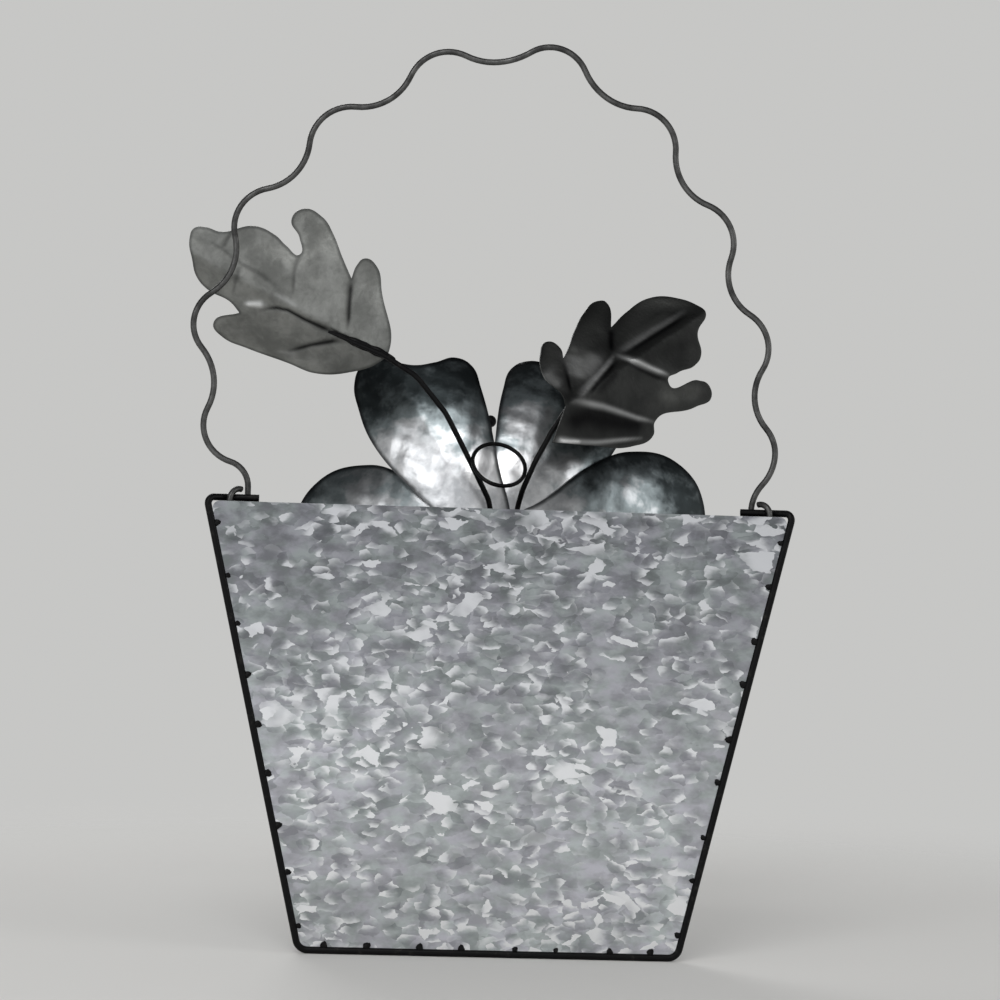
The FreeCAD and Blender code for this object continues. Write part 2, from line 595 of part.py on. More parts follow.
def make_handle():
    """Wavy wire bail with an eye round each arm of the edge wire."""
    steps = 400
    middle, shank_x = bail_middle_line(steps)
    arm_y = derived.panel_y + size("arm_setback")
    bail_y = arm_y + derived.eye_radius * math.cos(math.radians(size("eye_turn")))
    travelled = [0]
    for before, after in zip(middle, middle[1:]):
        travelled.append(travelled[-1] + (after - before).Length)
    half_waves = 2 * int(size("wave_count"))
    stations = [(Vector(-shank_x, bail_y, derived.arm_z + size("left_shank")), Vector(0, 0, 1))]
    for i in range(1, half_waves):
        share = i / half_waves
        crowding = size("wave_crowding") / size("wave_count") * math.sin(2 * math.pi * share)
        goal = travelled[-1] * (share - crowding)
        j = max(k for k in range(steps) if travelled[k] <= goal)
        share = (goal - travelled[j]) / (travelled[j + 1] - travelled[j])
        spot = middle[j] + (middle[j + 1] - middle[j]) * share
        direction = (middle[j + 1] - middle[j]).normalize()
        outward = Vector(-direction.z, 0, direction.x)
        swing = size("wave_height") if i % 2 else -size("wave_height")
        spot = spot + outward * swing
        stations.append((Vector(spot.x, bail_y, derived.arm_z + spot.z), direction))
    stations.append((Vector(shank_x, bail_y, derived.arm_z + size("right_shank")), Vector(0, 0, -1)))
    edges = eye_edges(-1, stations[0][0], arm_y)
    for (start, heading), (end, arrival) in zip(stations, stations[1:]):
        edges += biarc(start, heading, end, arrival)
    edges += eye_edges(1, stations[-1][0], arm_y)
    path = Part.Wire(Part.__sortEdges__(edges))
    return bent_wire("handle", path, "Sizes.handle_wire_diameter")


# Flower

# Upper petal as belts of circles, in shares of its length: x, y and radius
PETAL_OUTER_CORNER = (-0.525, 0.715, 0.12)
PETAL_INNER_CORNER = (-0.205, 0.725, 0.104)
PETAL_NOTCH = (-0.37, 0.68, 0.125)
PETAL_BELLY = (-0.42, 0.53, 0.17)

# Degrees that a petal's spoon reaches each side of its axis, and each way along it from the hub
SPOON_SWEEP = 55
BEND_SWEEP = 75


def petal_shell(layer, degrees, curve):
    """Thin spoon that a petal is cut from: a band of its round section, turned along the petal's axis."""
    label = "petal_dish_%d" % layer
    body = named("PartDesign::Body", label)
    section = new_sketch(body, "XY_Plane", label + "_section")
    outside = "(Sizes.petal_spoon - %d * Derived.petal_pitch)" % layer
    inside = "(%s - Sizes.petal_thickness)" % outside
    add_arc_band(section, "%s - Sizes.petal_spoon" % curve, outside, inside, "sin(%g deg)" % SPOON_SWEEP)
    turning = body.newObject("PartDesign::Revolution", label + "_turning")
    turning.Profile = section
    turning.ReferenceAxis = (section, ["H_Axis"])
    turning.Midplane = True
    turning.Angle = 2 * BEND_SWEEP
    angle = math.radians(degrees)
    sideways = Vector(-math.sin(angle), 0, math.cos(angle))
    backwards = Vector(0, -1, 0)
    body.Placement.Rotation = Rotation(sideways, backwards, sideways.cross(backwards), "ZYX")
    bind(body, Placement__Base__y="Derived.panel_y + Derived.flower_back + %s" % curve)
    bind(body, Placement__Base__z="Derived.hub_z")
    return body


def make_petal(label, layer, belts, degrees, curve):
    """Petal cut from its dish by its outline, with a hole for the rivet."""
    outline = named("Part::Feature", label + "_outline")
    hole = Part.Face(Part.Wire(Part.Circle(Vector(), Vector(0, 0, 1),
                                           size("rivet_diameter") / 2 + size("seam_gap")).toShape()))
    outline.Shape = joined_face(belts).cut(hole)
    outline.Placement = Placement(behind_panel(0, derived.flower_back, derived.hub_z),
                                  Rotation(Vector(1, 0, 0), 90))
    prism = named("Part::Extrusion", label + "_prism")
    prism.Base = outline
    prism.DirMode = "Custom"
    prism.Dir = Vector(0, 1, 0)
    prism.Solid = True
    bind(prism, LengthFwd="Sizes.petal_spoon", LengthRev="Sizes.petal_thickness")
    petal = named("Part::Common", label)
    petal.Base = prism
    petal.Tool = petal_shell(layer, degrees, curve)
    return petal


def make_petals():
    """Two notched upper petals, two round side petals and a round lower petal."""
    root = (0, 0, size("petal_root"))
    length = size("upper_petal_length")

    def grown(circle):
        return tuple(length * share for share in circle)

    upper = [[root, grown(PETAL_INNER_CORNER), grown(PETAL_NOTCH), grown(PETAL_BELLY)],
             [root, grown(PETAL_OUTER_CORNER), grown(PETAL_BELLY)]]

    def round_petal(reach, degrees, radius):
        angle = math.radians(degrees)
        return [[root, (reach * math.cos(angle), reach * math.sin(angle), radius)]]

    left = round_petal(size("left_petal_reach"), size("left_petal_angle"), size("side_petal_radius"))
    right = round_petal(size("right_petal_reach"), size("right_petal_angle"), size("side_petal_radius"))
    lower = round_petal(size("lower_petal_reach"), 270, size("lower_petal_radius"))
    inner, outer = "Sizes.flower_curve", "Sizes.outer_flower_curve"
    tilt = size("upper_petal_angle")
    layers = [("petal_upper_left", upper, tilt, inner),
              ("petal_right", right, size("right_petal_angle"), inner),
              ("petal_left", left, size("left_petal_angle"), outer),
              ("petal_upper_right", mirrored(upper), 180 - tilt, outer),
              ("petal_lower", lower, 270, outer)]
    return [make_petal(label, layer, belts, degrees, curve)
            for layer, (label, belts, degrees, curve) in enumerate(layers)]


def make_hub():
    """Rivet through the wall, with its washer, the collar behind the petals and the button."""
    shank = "Sizes.rivet_diameter / 2"
    clear = "(Sizes.rivet_diameter / 2 + Sizes.seam_gap)"
    out_face = "(Derived.hub_depth + Derived.half_sheet + Derived.wall_slope * Sizes.spacer_diameter / 2)"
    in_face = "(Derived.hub_depth - Derived.half_sheet - Derived.wall_slope * Sizes.burr_diameter / 2" \
              " - (Sizes.burr_diameter / 2) ^ 2 / (2 * Derived.rim_radius) - Sizes.seam_gap)"
    front = "(Derived.flower_face)"
    spacer_end = "Derived.flower_back - Sizes.seam_gap"
    spacer = turned_piece("flower_spacer", [(clear, "0"), ("Sizes.spacer_diameter / 2", "0"),
                                            ("Sizes.spacer_diameter / 2", "%s - %s" % (spacer_end, out_face)),
                                            (clear, "%s - %s" % (spacer_end, out_face))], out_face)
    burr = turned_piece("rivet_burr", [(clear, "0"), ("Sizes.burr_diameter / 2", "0"),
                                       ("Sizes.burr_diameter / 2", "-Sizes.burr_thickness"),
                                       (clear, "-Sizes.burr_thickness")], in_face)
    reach = "Sizes.burr_thickness + %s - %s + Sizes.boss_height / 2" % (front, in_face)
    head = "(Sizes.rivet_head_diameter / 2)"
    rivet = turned_piece("flower_rivet", [("0", "-Sizes.rivet_head_thickness"),
                                          (head + " * 0.7", "-Sizes.rivet_head_thickness"),
                                          (head, "-Sizes.rivet_head_thickness / 2"), (head, "0"),
                                          (shank, "0"), (shank, reach), ("0", reach)],
                         in_face + " - Sizes.burr_thickness - Sizes.seam_gap")
    wide = "(Sizes.boss_diameter / 2)"
    deep = "Sizes.boss_height / 2 + Sizes.seam_gap"
    boss = turned_piece("flower_boss", [(clear, "Sizes.seam_gap"), (wide, "Sizes.seam_gap"),
                                        (wide, "Sizes.boss_height * 0.35"),
                                        (wide + " * 0.8", "Sizes.boss_height * 0.75"),
                                        (wide + " * 0.4", "Sizes.boss_height"), ("0", "Sizes.boss_height"),
                                        ("0", deep), (clear, deep)], front)
    return [spacer, burr, rivet, boss]


def make_pistil():
    """Thin wire with a ball on its end, standing on the button."""
    face = derived.flower_face + size("boss_height") + size("seam_gap")
    forward = size("pistil_forward")
    ball = behind_panel(-size("pistil_side"), face + forward, derived.hub_z + size("pistil_height"))
    root = behind_panel(0, face, derived.hub_z)
    elbow = behind_panel(0, face + forward / 2, derived.hub_z)
    ball_radius = size("pistil_tip_diameter") / 2
    top = ball - (ball - elbow).normalize() * (ball_radius + size("seam_gap"))
    wire = bent_wire("pistil", rounded_path([root, elbow, top], forward / 2), "Sizes.pistil_diameter")
    tip = named("Part::Sphere", "pistil_tip")
    bind(tip, Radius="Sizes.pistil_tip_diameter / 2")
    tip.Placement.Base = ball
    return [wire, tip]


# Leaves, their stems and the ring between them

# Leaf as belts of circles, in shares of its length: along, across and radius
LEAF_MIDDLE = [
    [(0.03, 0, 0.025), (0.45, 0, 0.09)],
    [(0.4, 0, 0.07), (0.62, -0.08, 0.11), (0.76, -0.075, 0.115), (0.955, 0, 0.04), (0.76, 0.075, 0.115),
     (0.62, 0.08, 0.11)],
]
LEAF_UPPER_LOBES = [
    [(0.02, 0.01, 0.015), (0.145, 0.07, 0.05), (0.26, 0.268, 0.054)],
    [(0.22, 0.04, 0.05), (0.42, 0.15, 0.06), (0.615, 0.315, 0.045), (0.49, 0.245, 0.075)],
]
LEAF_LOWER_LOBES = [
    [(0.02, -0.02, 0.02), (0.07, -0.13, 0.05), (0.28, -0.2, 0.06), (0.25, -0.06, 0.05)],
    [(0.25, -0.11, 0.05), (0.5, -0.25, 0.05), (0.7, -0.275, 0.05), (0.62, -0.1, 0.06)],
]
LEAF_REACH = 0.4


def leaf_axes(side):
    """A leaf's base on its stem, the way it points and the way its outer face looks."""
    if side < 0:
        base = behind_panel(-size("left_leaf_side"), size("rim_depth") - size("left_leaf_setback"),
                            derived.top_z + size("left_leaf_height"))
        rise = math.radians(size("left_leaf_rise"))
        roll = math.radians(size("left_leaf_roll"))
        along = Vector(-math.cos(rise), 0, math.sin(rise))
        upward = Vector(math.sin(rise), 0, math.cos(rise))
        outward = Vector(0, -math.cos(roll), 0) - upward * math.sin(roll)
    else:
        base = behind_panel(size("right_leaf_side"), size("rim_depth") - size("right_leaf_setback"),
                            derived.top_z + size("right_leaf_height"))
        rise = math.radians(size("right_leaf_rise"))
        lean = math.radians(size("right_leaf_lean"))
        flat = Vector(math.cos(rise), 0, math.sin(rise))
        along = flat * math.cos(lean) + Vector(0, math.sin(lean), 0)
        outward = flat * math.sin(lean) - Vector(0, math.cos(lean), 0)
    return base, along, outward


def make_leaf(label, side):
    """Lobed leaf cut from a sheet that is folded along its middle."""
    base, along, outward = leaf_axes(side)
    seat = size("stem_diameter") / 2 + size("seam_gap")
    if side < 0:
        ridge = base - outward * seat
    else:
        ridge = base + outward * ((seat + size("leaf_thickness")) / math.cos(math.radians(size("leaf_fold"))))
    place = Placement(ridge, Rotation(along, outward.cross(along), outward, "ZXY"))
    fold = named("PartDesign::Body", label + "_fold")
    profile = new_sketch(fold, "YZ_Plane", label + "_profile")
    half = "(Sizes.leaf_length * %g)" % LEAF_REACH
    drop = "%s * tan(Sizes.leaf_fold)" % half
    thick = "Sizes.leaf_thickness / cos(Sizes.leaf_fold)"
    add_corners(profile, [("0", "0"), ("-" + half, "-%s" % drop), ("-" + half, "-%s - %s" % (drop, thick)),
                          ("0", "-" + thick), (half, "-%s - %s" % (drop, thick)), (half, "-%s" % drop)])
    pad = fold.newObject("PartDesign::Pad", label + "_sheet")
    pad.Profile = profile
    bind(pad, Length="Sizes.leaf_length * 1.1")
    fold.Placement = place
    outline = named("Part::Feature", label + "_outline")
    length = size("leaf_length")
    belts = LEAF_MIDDLE + LEAF_UPPER_LOBES + LEAF_LOWER_LOBES
    if side < 0:
        belts = [[(forth, -across, radius) for forth, across, radius in reversed(belt)] for belt in belts]
    outline.Shape = joined_face([[tuple(length * share for share in circle) for circle in belt] for belt in belts])
    outline.Placement = place
    prism = named("Part::Extrusion", label + "_prism")
    prism.Base = outline
    prism.DirMode = "Custom"
    prism.Dir = outward
    prism.Solid = True
    bind(prism, LengthFwd="Sizes.leaf_length * %g" % LEAF_REACH, LengthRev="Sizes.leaf_length * %g" % LEAF_REACH)
    leaf = named("Part::Common", label)
    leaf.Base = fold
    leaf.Tool = prism
    return leaf


def ring_axes():
    """Ring's middle, its level direction in its own plane and its normal."""
    centre = behind_panel(size("ring_side"), size("rim_depth") - size("ring_setback"),
                          derived.top_z + size("ring_height"))
    cant = math.radians(size("ring_cant"))
    tilt = math.radians(size("ring_tilt"))
    level = Vector(math.cos(cant), 0, -math.sin(cant))
    steep = Vector(math.sin(cant), 0, math.cos(cant)) * math.cos(tilt) + Vector(0, math.sin(tilt), 0)
    return centre, level, level.cross(steep)


def make_ring():
    """Wire ring held between the two stems."""
    centre, level, normal = ring_axes()
    ring = named("Part::Torus", "stem_ring")
    bind(ring, Radius1="Sizes.ring_radius", Radius2="Sizes.ring_wire_diameter / 2")
    ring.Placement = Placement(centre, Rotation(level, normal.cross(level), normal, "ZXY"))
    return ring


def beside_ring(start, end, side):
    """Middle of a straight run that passes the ring at its side and touches it."""
    centre, level, normal = ring_axes()
    steep = normal.cross(level)
    touch = (size("ring_wire_diameter") + size("stem_diameter")) / 2 + size("seam_gap")
    radius = size("ring_radius")
    heading = (end - start).normalize()
    middle = centre + level * (side * (radius + touch))
    for attempt in range(12):
        gaps = []
        for i in range(-45, 46):
            angle = math.radians(i)
            on_ring = centre + level * (side * radius * math.cos(angle)) + steep * (radius * math.sin(angle))
            gaps.append((on_ring - middle).cross(heading).Length)
        middle = middle + level * (side * (touch - min(gaps)))
    return middle, heading


def make_stem(label, side, foot_x, collar_x, elbows):
    """Wire from a welded foot inside the pocket wall, past the ring, to a leaf's middle fold."""
    base, along, outward = leaf_axes(side)
    stem_radius = size("stem_diameter") / 2

    def on_wall(below_top):
        z = derived.top_z - below_top
        centre_y = size("base_depth") + derived.wall_slope * (z - derived.wall_low_z)
        curve = foot_x ** 2 / (2 * derived.base_radius)
        depth = centre_y - curve - derived.half_sheet - stem_radius * math.hypot(1, derived.wall_slope)
        return behind_panel(foot_x, depth - size("seam_gap"), z)

    foot_top = size("stem_foot_top")
    foot = on_wall(foot_top + size("stem_foot_length"))
    heel = on_wall(foot_top)
    collar = behind_panel(collar_x, size("rim_depth") - size("stem_collar_setback"), derived.top_z)
    ring_centre = ring_axes()[0]

    def elbow_point(shares):
        reach = base - ring_centre
        return ring_centre + Vector(reach.x * shares[0], reach.y * shares[1], reach.z * shares[2])

    bends = [elbow_point(shares) for shares in elbows]
    middle, heading = beside_ring(collar, bends[0], side)
    run = heading * (3 * size("stem_diameter"))
    path = [foot, heel, collar, middle - run, middle + run] + bends + [base, base + along * size("stem_lap")]
    return bent_wire(label, rounded_path(path, size("stem_bend")), "Sizes.stem_diameter")


# Document

pieces = [make_back_panel(), make_front_wall(), make_bottom_plate(), make_edge_wire()]
pieces.append(bowed_wire("rim_wire", "Derived.rim_radius", "Sizes.rim_depth", "Derived.half_rim",
                         "Derived.rim_z", "(Derived.wire_radius + Sizes.eye_gap)"))
pieces.append(bowed_wire("base_wire", "Derived.base_radius", "Sizes.base_depth", "Derived.half_bottom",
                         "Derived.base_z", "(Sizes.corner_radius + Derived.wire_radius)"))
pieces += [make_panel_welds(), make_handle()]
pieces += make_petals() + make_hub() + make_pistil()
pieces += [make_leaf("left_leaf", -1), make_leaf("right_leaf", 1)]
pieces.append(make_stem("left_stem", -1, size("left_stem_foot"), size("left_stem_collar"),
                        [(0.47, 0.35, 0.48), (0.73, 0.7, 0.82)]))
pieces.append(make_stem("right_stem", 1, size("right_stem_foot"), size("right_stem_collar"),
                        [(0.74, 0.5, 0.55)]))
pieces.append(make_ring())
doc.recompute()

for item in doc.Objects:
    if "Invalid" in item.State or "Error" in item.State:
        raise RuntimeError("%s is %s" % (item.Label, item.State))
for piece in pieces:
    if piece.Shape.isNull() or not piece.Shape.isValid() or not piece.Shape.Solids:
        raise RuntimeError("%s has no valid shape" % piece.Label)

os.makedirs("parts", exist_ok=True)
for piece in pieces:
    piece.Shape.exportStep("parts/%s.step" % piece.Label)
    print("%-18s %3d solids %10.1f mm3" % (piece.Label, len(piece.Shape.Solids), piece.Shape.Volume))
for label, diameter in (("edge_wire", "edge_wire_diameter"), ("handle", "handle_wire_diameter"),
                        ("left_stem", "stem_diameter"), ("right_stem", "stem_diameter")):
    path_length = doc.getObject(label + "_path").Shape.Length
    section = math.pi * size(diameter) ** 2 / 4
    print("%-18s path %.1f mm, section times length %.1f mm3" % (label, path_length, section * path_length))
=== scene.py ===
"""Looks of a galvanised wall pocket planter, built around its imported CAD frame. Metres, +Z up."""
import json
import math

import bpy
from mathutils import Matrix, Vector
from mathutils.kdtree import KDTree


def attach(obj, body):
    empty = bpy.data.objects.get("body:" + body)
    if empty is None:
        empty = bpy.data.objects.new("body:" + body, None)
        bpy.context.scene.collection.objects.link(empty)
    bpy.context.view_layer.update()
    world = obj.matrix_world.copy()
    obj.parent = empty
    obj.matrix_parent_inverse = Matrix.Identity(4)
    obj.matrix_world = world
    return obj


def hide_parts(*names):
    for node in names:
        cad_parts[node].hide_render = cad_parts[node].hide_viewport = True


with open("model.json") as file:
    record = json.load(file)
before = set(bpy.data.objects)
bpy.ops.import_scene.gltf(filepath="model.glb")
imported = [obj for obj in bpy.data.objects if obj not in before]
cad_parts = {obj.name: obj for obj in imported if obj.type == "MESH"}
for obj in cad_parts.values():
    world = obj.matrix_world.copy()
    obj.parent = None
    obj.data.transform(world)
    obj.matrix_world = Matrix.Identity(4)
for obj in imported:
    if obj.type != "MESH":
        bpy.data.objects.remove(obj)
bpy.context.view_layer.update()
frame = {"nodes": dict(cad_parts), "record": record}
nodes = frame["nodes"]
scene = bpy.context.scene
scene.view_settings.view_transform = "Standard"
bpy.ops.object.select_all(action="DESELECT")
MM = 0.001


# Camera at the photograph's place, for a square picture: metres, with lens and sensor in millimetres

CAMERA_PLACE = Vector((-0.0596, -1.270, 0.1953))
CAMERA_YAW = math.radians(2.7)
CAMERA_ROLL = math.radians(1.72)
CAMERA_LENS = 105.57
CAMERA_SENSOR = 36
CAMERA_REACH = 50


def make_camera():
    """Camera that looks along +Y, turned and rolled a little, at the flat back panel."""
    ahead = Vector((math.sin(CAMERA_YAW), math.cos(CAMERA_YAW), 0))
    right = Vector((math.cos(CAMERA_YAW), -math.sin(CAMERA_YAW), 0))
    up = right.cross(ahead)
    rolled_right = right * math.cos(CAMERA_ROLL) + up * math.sin(CAMERA_ROLL)
    rolled_up = up * math.cos(CAMERA_ROLL) - right * math.sin(CAMERA_ROLL)
    turn = Matrix((rolled_right, rolled_up, -ahead)).transposed()
    data = bpy.data.cameras.new("photo_camera")
    data.lens = CAMERA_LENS
    data.sensor_width = CAMERA_SENSOR
    data.clip_end = CAMERA_REACH
    camera = bpy.data.objects.new("photo_camera", data)
    camera.matrix_world = Matrix.Translation(CAMERA_PLACE) @ turn.to_4x4()
    scene.collection.objects.link(camera)
    scene.camera = camera


# Node helpers

def add_node(tree, kind, **settings):
    """New node with its own settings, such as an operation."""
    node = tree.nodes.new(kind)
    for name, value in settings.items():
        setattr(node, name, value)
    return node


def feed(tree, socket, value):
    """Links another node's output into a socket, or sets the socket to a plain value."""
    if isinstance(value, bpy.types.NodeSocket):
        tree.links.new(value, socket)
    else:
        socket.default_value = value


def blend_of(tree, share, first, second, mode="MIX"):
    """Colour between two colours, or the product of the two in the mode MULTIPLY."""
    node = add_node(tree, "ShaderNodeMix", data_type="RGBA", blend_type=mode)
    feed(tree, node.inputs["Factor"], share)
    feed(tree, node.inputs["A"], first)
    feed(tree, node.inputs["B"], second)
    return node.outputs["Result"]


def result_of(tree, operation, first, second=0.0):
    """Plain sum, product or the like of two values."""
    node = add_node(tree, "ShaderNodeMath", operation=operation)
    feed(tree, node.inputs[0], first)
    feed(tree, node.inputs[1], second)
    return node.outputs[0]


def stretch_of(tree, value, low, high, to_low=0.0, to_high=1.0):
    """Value carried from one range to another, eased at both ends."""
    node = add_node(tree, "ShaderNodeMapRange", interpolation_type="SMOOTHSTEP")
    feed(tree, node.inputs["Value"], value)
    node.inputs["From Min"].default_value = low
    node.inputs["From Max"].default_value = high
    node.inputs["To Min"].default_value = to_low
    node.inputs["To Max"].default_value = to_high
    return node.outputs["Result"]


def cloud_of(tree, place, scale, detail=2.0, roughness=0.5):
    """Soft noise; scale counts its lumps per metre."""
    node = add_node(tree, "ShaderNodeTexNoise")
    feed(tree, node.inputs["Vector"], place)
    node.inputs["Scale"].default_value = scale
    node.inputs["Detail"].default_value = detail
    node.inputs["Roughness"].default_value = roughness
    return node


def crystals_of(tree, place, scale, softness=0.0):
    """Cells like zinc crystals, with soft borders where asked; scale counts them per metre."""
    node = add_node(tree, "ShaderNodeTexVoronoi", feature="SMOOTH_F1" if softness else "F1")
    feed(tree, node.inputs["Vector"], place)
    node.inputs["Scale"].default_value = scale
    if softness:
        node.inputs["Smoothness"].default_value = softness
    return node


def shade_of(tree, node, channel):
    """One of the three shades in the colour that a noise or crystal node gives."""
    parts = add_node(tree, "ShaderNodeSeparateColor")
    feed(tree, parts.inputs[0], node.outputs["Color"])
    return parts.outputs[channel]


def vector_of(tree, operation, first, second):
    """Node that works out a sum, difference or product of two vectors."""
    node = add_node(tree, "ShaderNodeVectorMath", operation=operation)
    feed(tree, node.inputs[0], first)
    feed(tree, node.inputs[1], second)
    return node


def attribute_of(tree, name):
    """Value that a piece's own mesh holds under a name."""
    return add_node(tree, "ShaderNodeAttribute", attribute_name=name).outputs["Fac"]


def ripple_of(tree, height, depth, strength, normal=None):
    """Normal of a surface that is rippled by a height; depth is in metres."""
    node = add_node(tree, "ShaderNodeBump")
    node.inputs["Strength"].default_value = strength
    node.inputs["Distance"].default_value = depth
    feed(tree, node.inputs["Height"], height)
    if normal is not None:
        feed(tree, node.inputs["Normal"], normal)
    return node.outputs["Normal"]


MIDDLE_SHADE = (0.5, 0.5, 0.5)


def moved_place(tree, place, amount, scale):
    """Place pushed about by a soft noise, so that straight borders turn ragged."""
    noise = cloud_of(tree, place, scale)
    centred = vector_of(tree, "SUBTRACT", noise.outputs["Color"], MIDDLE_SHADE)
    scaled = add_node(tree, "ShaderNodeVectorMath", operation="SCALE")
    feed(tree, scaled.inputs[0], centred.outputs[0])
    scaled.inputs["Scale"].default_value = amount
    return vector_of(tree, "ADD", place, scaled.outputs[0]).outputs[0]


def new_finish(name, metallic):
    """Material with its node tree, its shader and the place on the piece."""
    material = bpy.data.materials.new(name)
    material.use_nodes = True
    tree = material.node_tree
    surface = tree.nodes["Principled BSDF"]
    surface.inputs["Metallic"].default_value = metallic
    place = add_node(tree, "ShaderNodeTexCoord").outputs["Object"]
    return material, tree, surface, place


# Colours of the finishes; on the zinc, low is towards the bottom of the panel, in painted light, and high
# towards its top, in painted shade

ZINC_DARK_LIT_LOW = (0.45, 0.46, 0.47, 1)
ZINC_DARK_SHADED_HIGH = (0.178, 0.185, 0.191, 1)
ZINC_PALE_LIT_LOW = (0.67, 0.68, 0.7, 1)
ZINC_PALE_SHADED_HIGH = (0.35, 0.36, 0.373, 1)
# Painted highlights of the spangle facets, then their painted shade
ZINC_HIGHLIGHT_LIT_LOW = (0.97, 0.98, 0.99, 1)
ZINC_HIGHLIGHT_SHADED_HIGH = (0.66, 0.67, 0.69, 1)
ZINC_SHADOW = (0.46, 0.47, 0.48, 1)
ZINC_GREENISH = (0.95, 1.01, 0.98, 1)
ZINC_BLUISH = (1.0, 0.985, 1.04, 1)
COATING_BLACK = (0.004, 0.004, 0.0044, 1)
COATING_WORN = (0.022, 0.021, 0.019, 1)
WIRE_DARK = (0.05, 0.05, 0.049, 1)
WIRE_PALE = (0.13, 0.13, 0.127, 1)
TIN_GREY = (0.52, 0.535, 0.55, 1)
TIN_PALE = (0.69, 0.7, 0.715, 1)
# Painted highlight on the tin, then the bloom, partly patina and partly painted shade
TIN_HIGHLIGHT = (0.93, 0.935, 0.94, 1)
TIN_BLOOM_AND_SHADE = (0.24, 0.275, 0.285, 1)
TIN_DARK_BLOOM_AND_SHADE = (0.05, 0.06, 0.063, 1)
TIN_RIM = (0.02, 0.022, 0.024, 1)
LEAF_DARK = (0.165, 0.169, 0.16, 1)
LEAF_PALE = (0.275, 0.28, 0.266, 1)
LEAF_STAIN = (0.17, 0.175, 0.17, 1)
# Painted shade of the leaf, and painted shade in its creases
LEAF_PAINTED_SHADE = (0.02, 0.021, 0.021, 1)
LEAF_CREASE_SHADE = (0.005, 0.005, 0.0055, 1)
LEAF_RIM = (0.05, 0.052, 0.05, 1)
# Painted highlight on the ridges
LEAF_RIDGE_HIGHLIGHT = (0.85, 0.86, 0.86, 1)
RIVET_GREY = (0.5, 0.5, 0.51, 1)
RIVET_BRIGHT = (0.78, 0.78, 0.79, 1)


# Finishes: places are in metres, and the scales of noises and crystals count per metre

ZINC_PAINTED_LIGHT_END = 0.05
ZINC_PAINTED_SHADE_FULL = 0.205
SPANGLE_SQUEEZE = (0.74, 0.9, 1.2)
SPANGLE_FLECKS = 135
SPANGLE_SMALL_FLECKS = 225
SPANGLE_BROAD_FLECKS = 85


def facets_of(tree, place, scale, gate):
    """Crystals above a gate with a painted highlight on one side and painted shade on the other, as two
    shares.
    """
    crystals = crystals_of(tree, place, scale)
    reach = vector_of(tree, "SUBTRACT", place, crystals.outputs["Position"])
    tilt = vector_of(tree, "SUBTRACT", crystals.outputs["Color"], MIDDLE_SHADE)
    slope = vector_of(tree, "DOT_PRODUCT", reach.outputs[0], tilt.outputs[0])
    lit = result_of(tree, "MULTIPLY", slope.outputs["Value"], scale)
    above = result_of(tree, "SUBTRACT", shade_of(tree, crystals, 1), gate)
    chosen = stretch_of(tree, above, 0.0, 0.3)
    shine = result_of(tree, "MULTIPLY", chosen, stretch_of(tree, lit, -0.03, 0.22))
    dim = result_of(tree, "MULTIPLY", chosen, stretch_of(tree, lit, -0.2, 0.0, 1.0, 0.0))
    return shine, dim


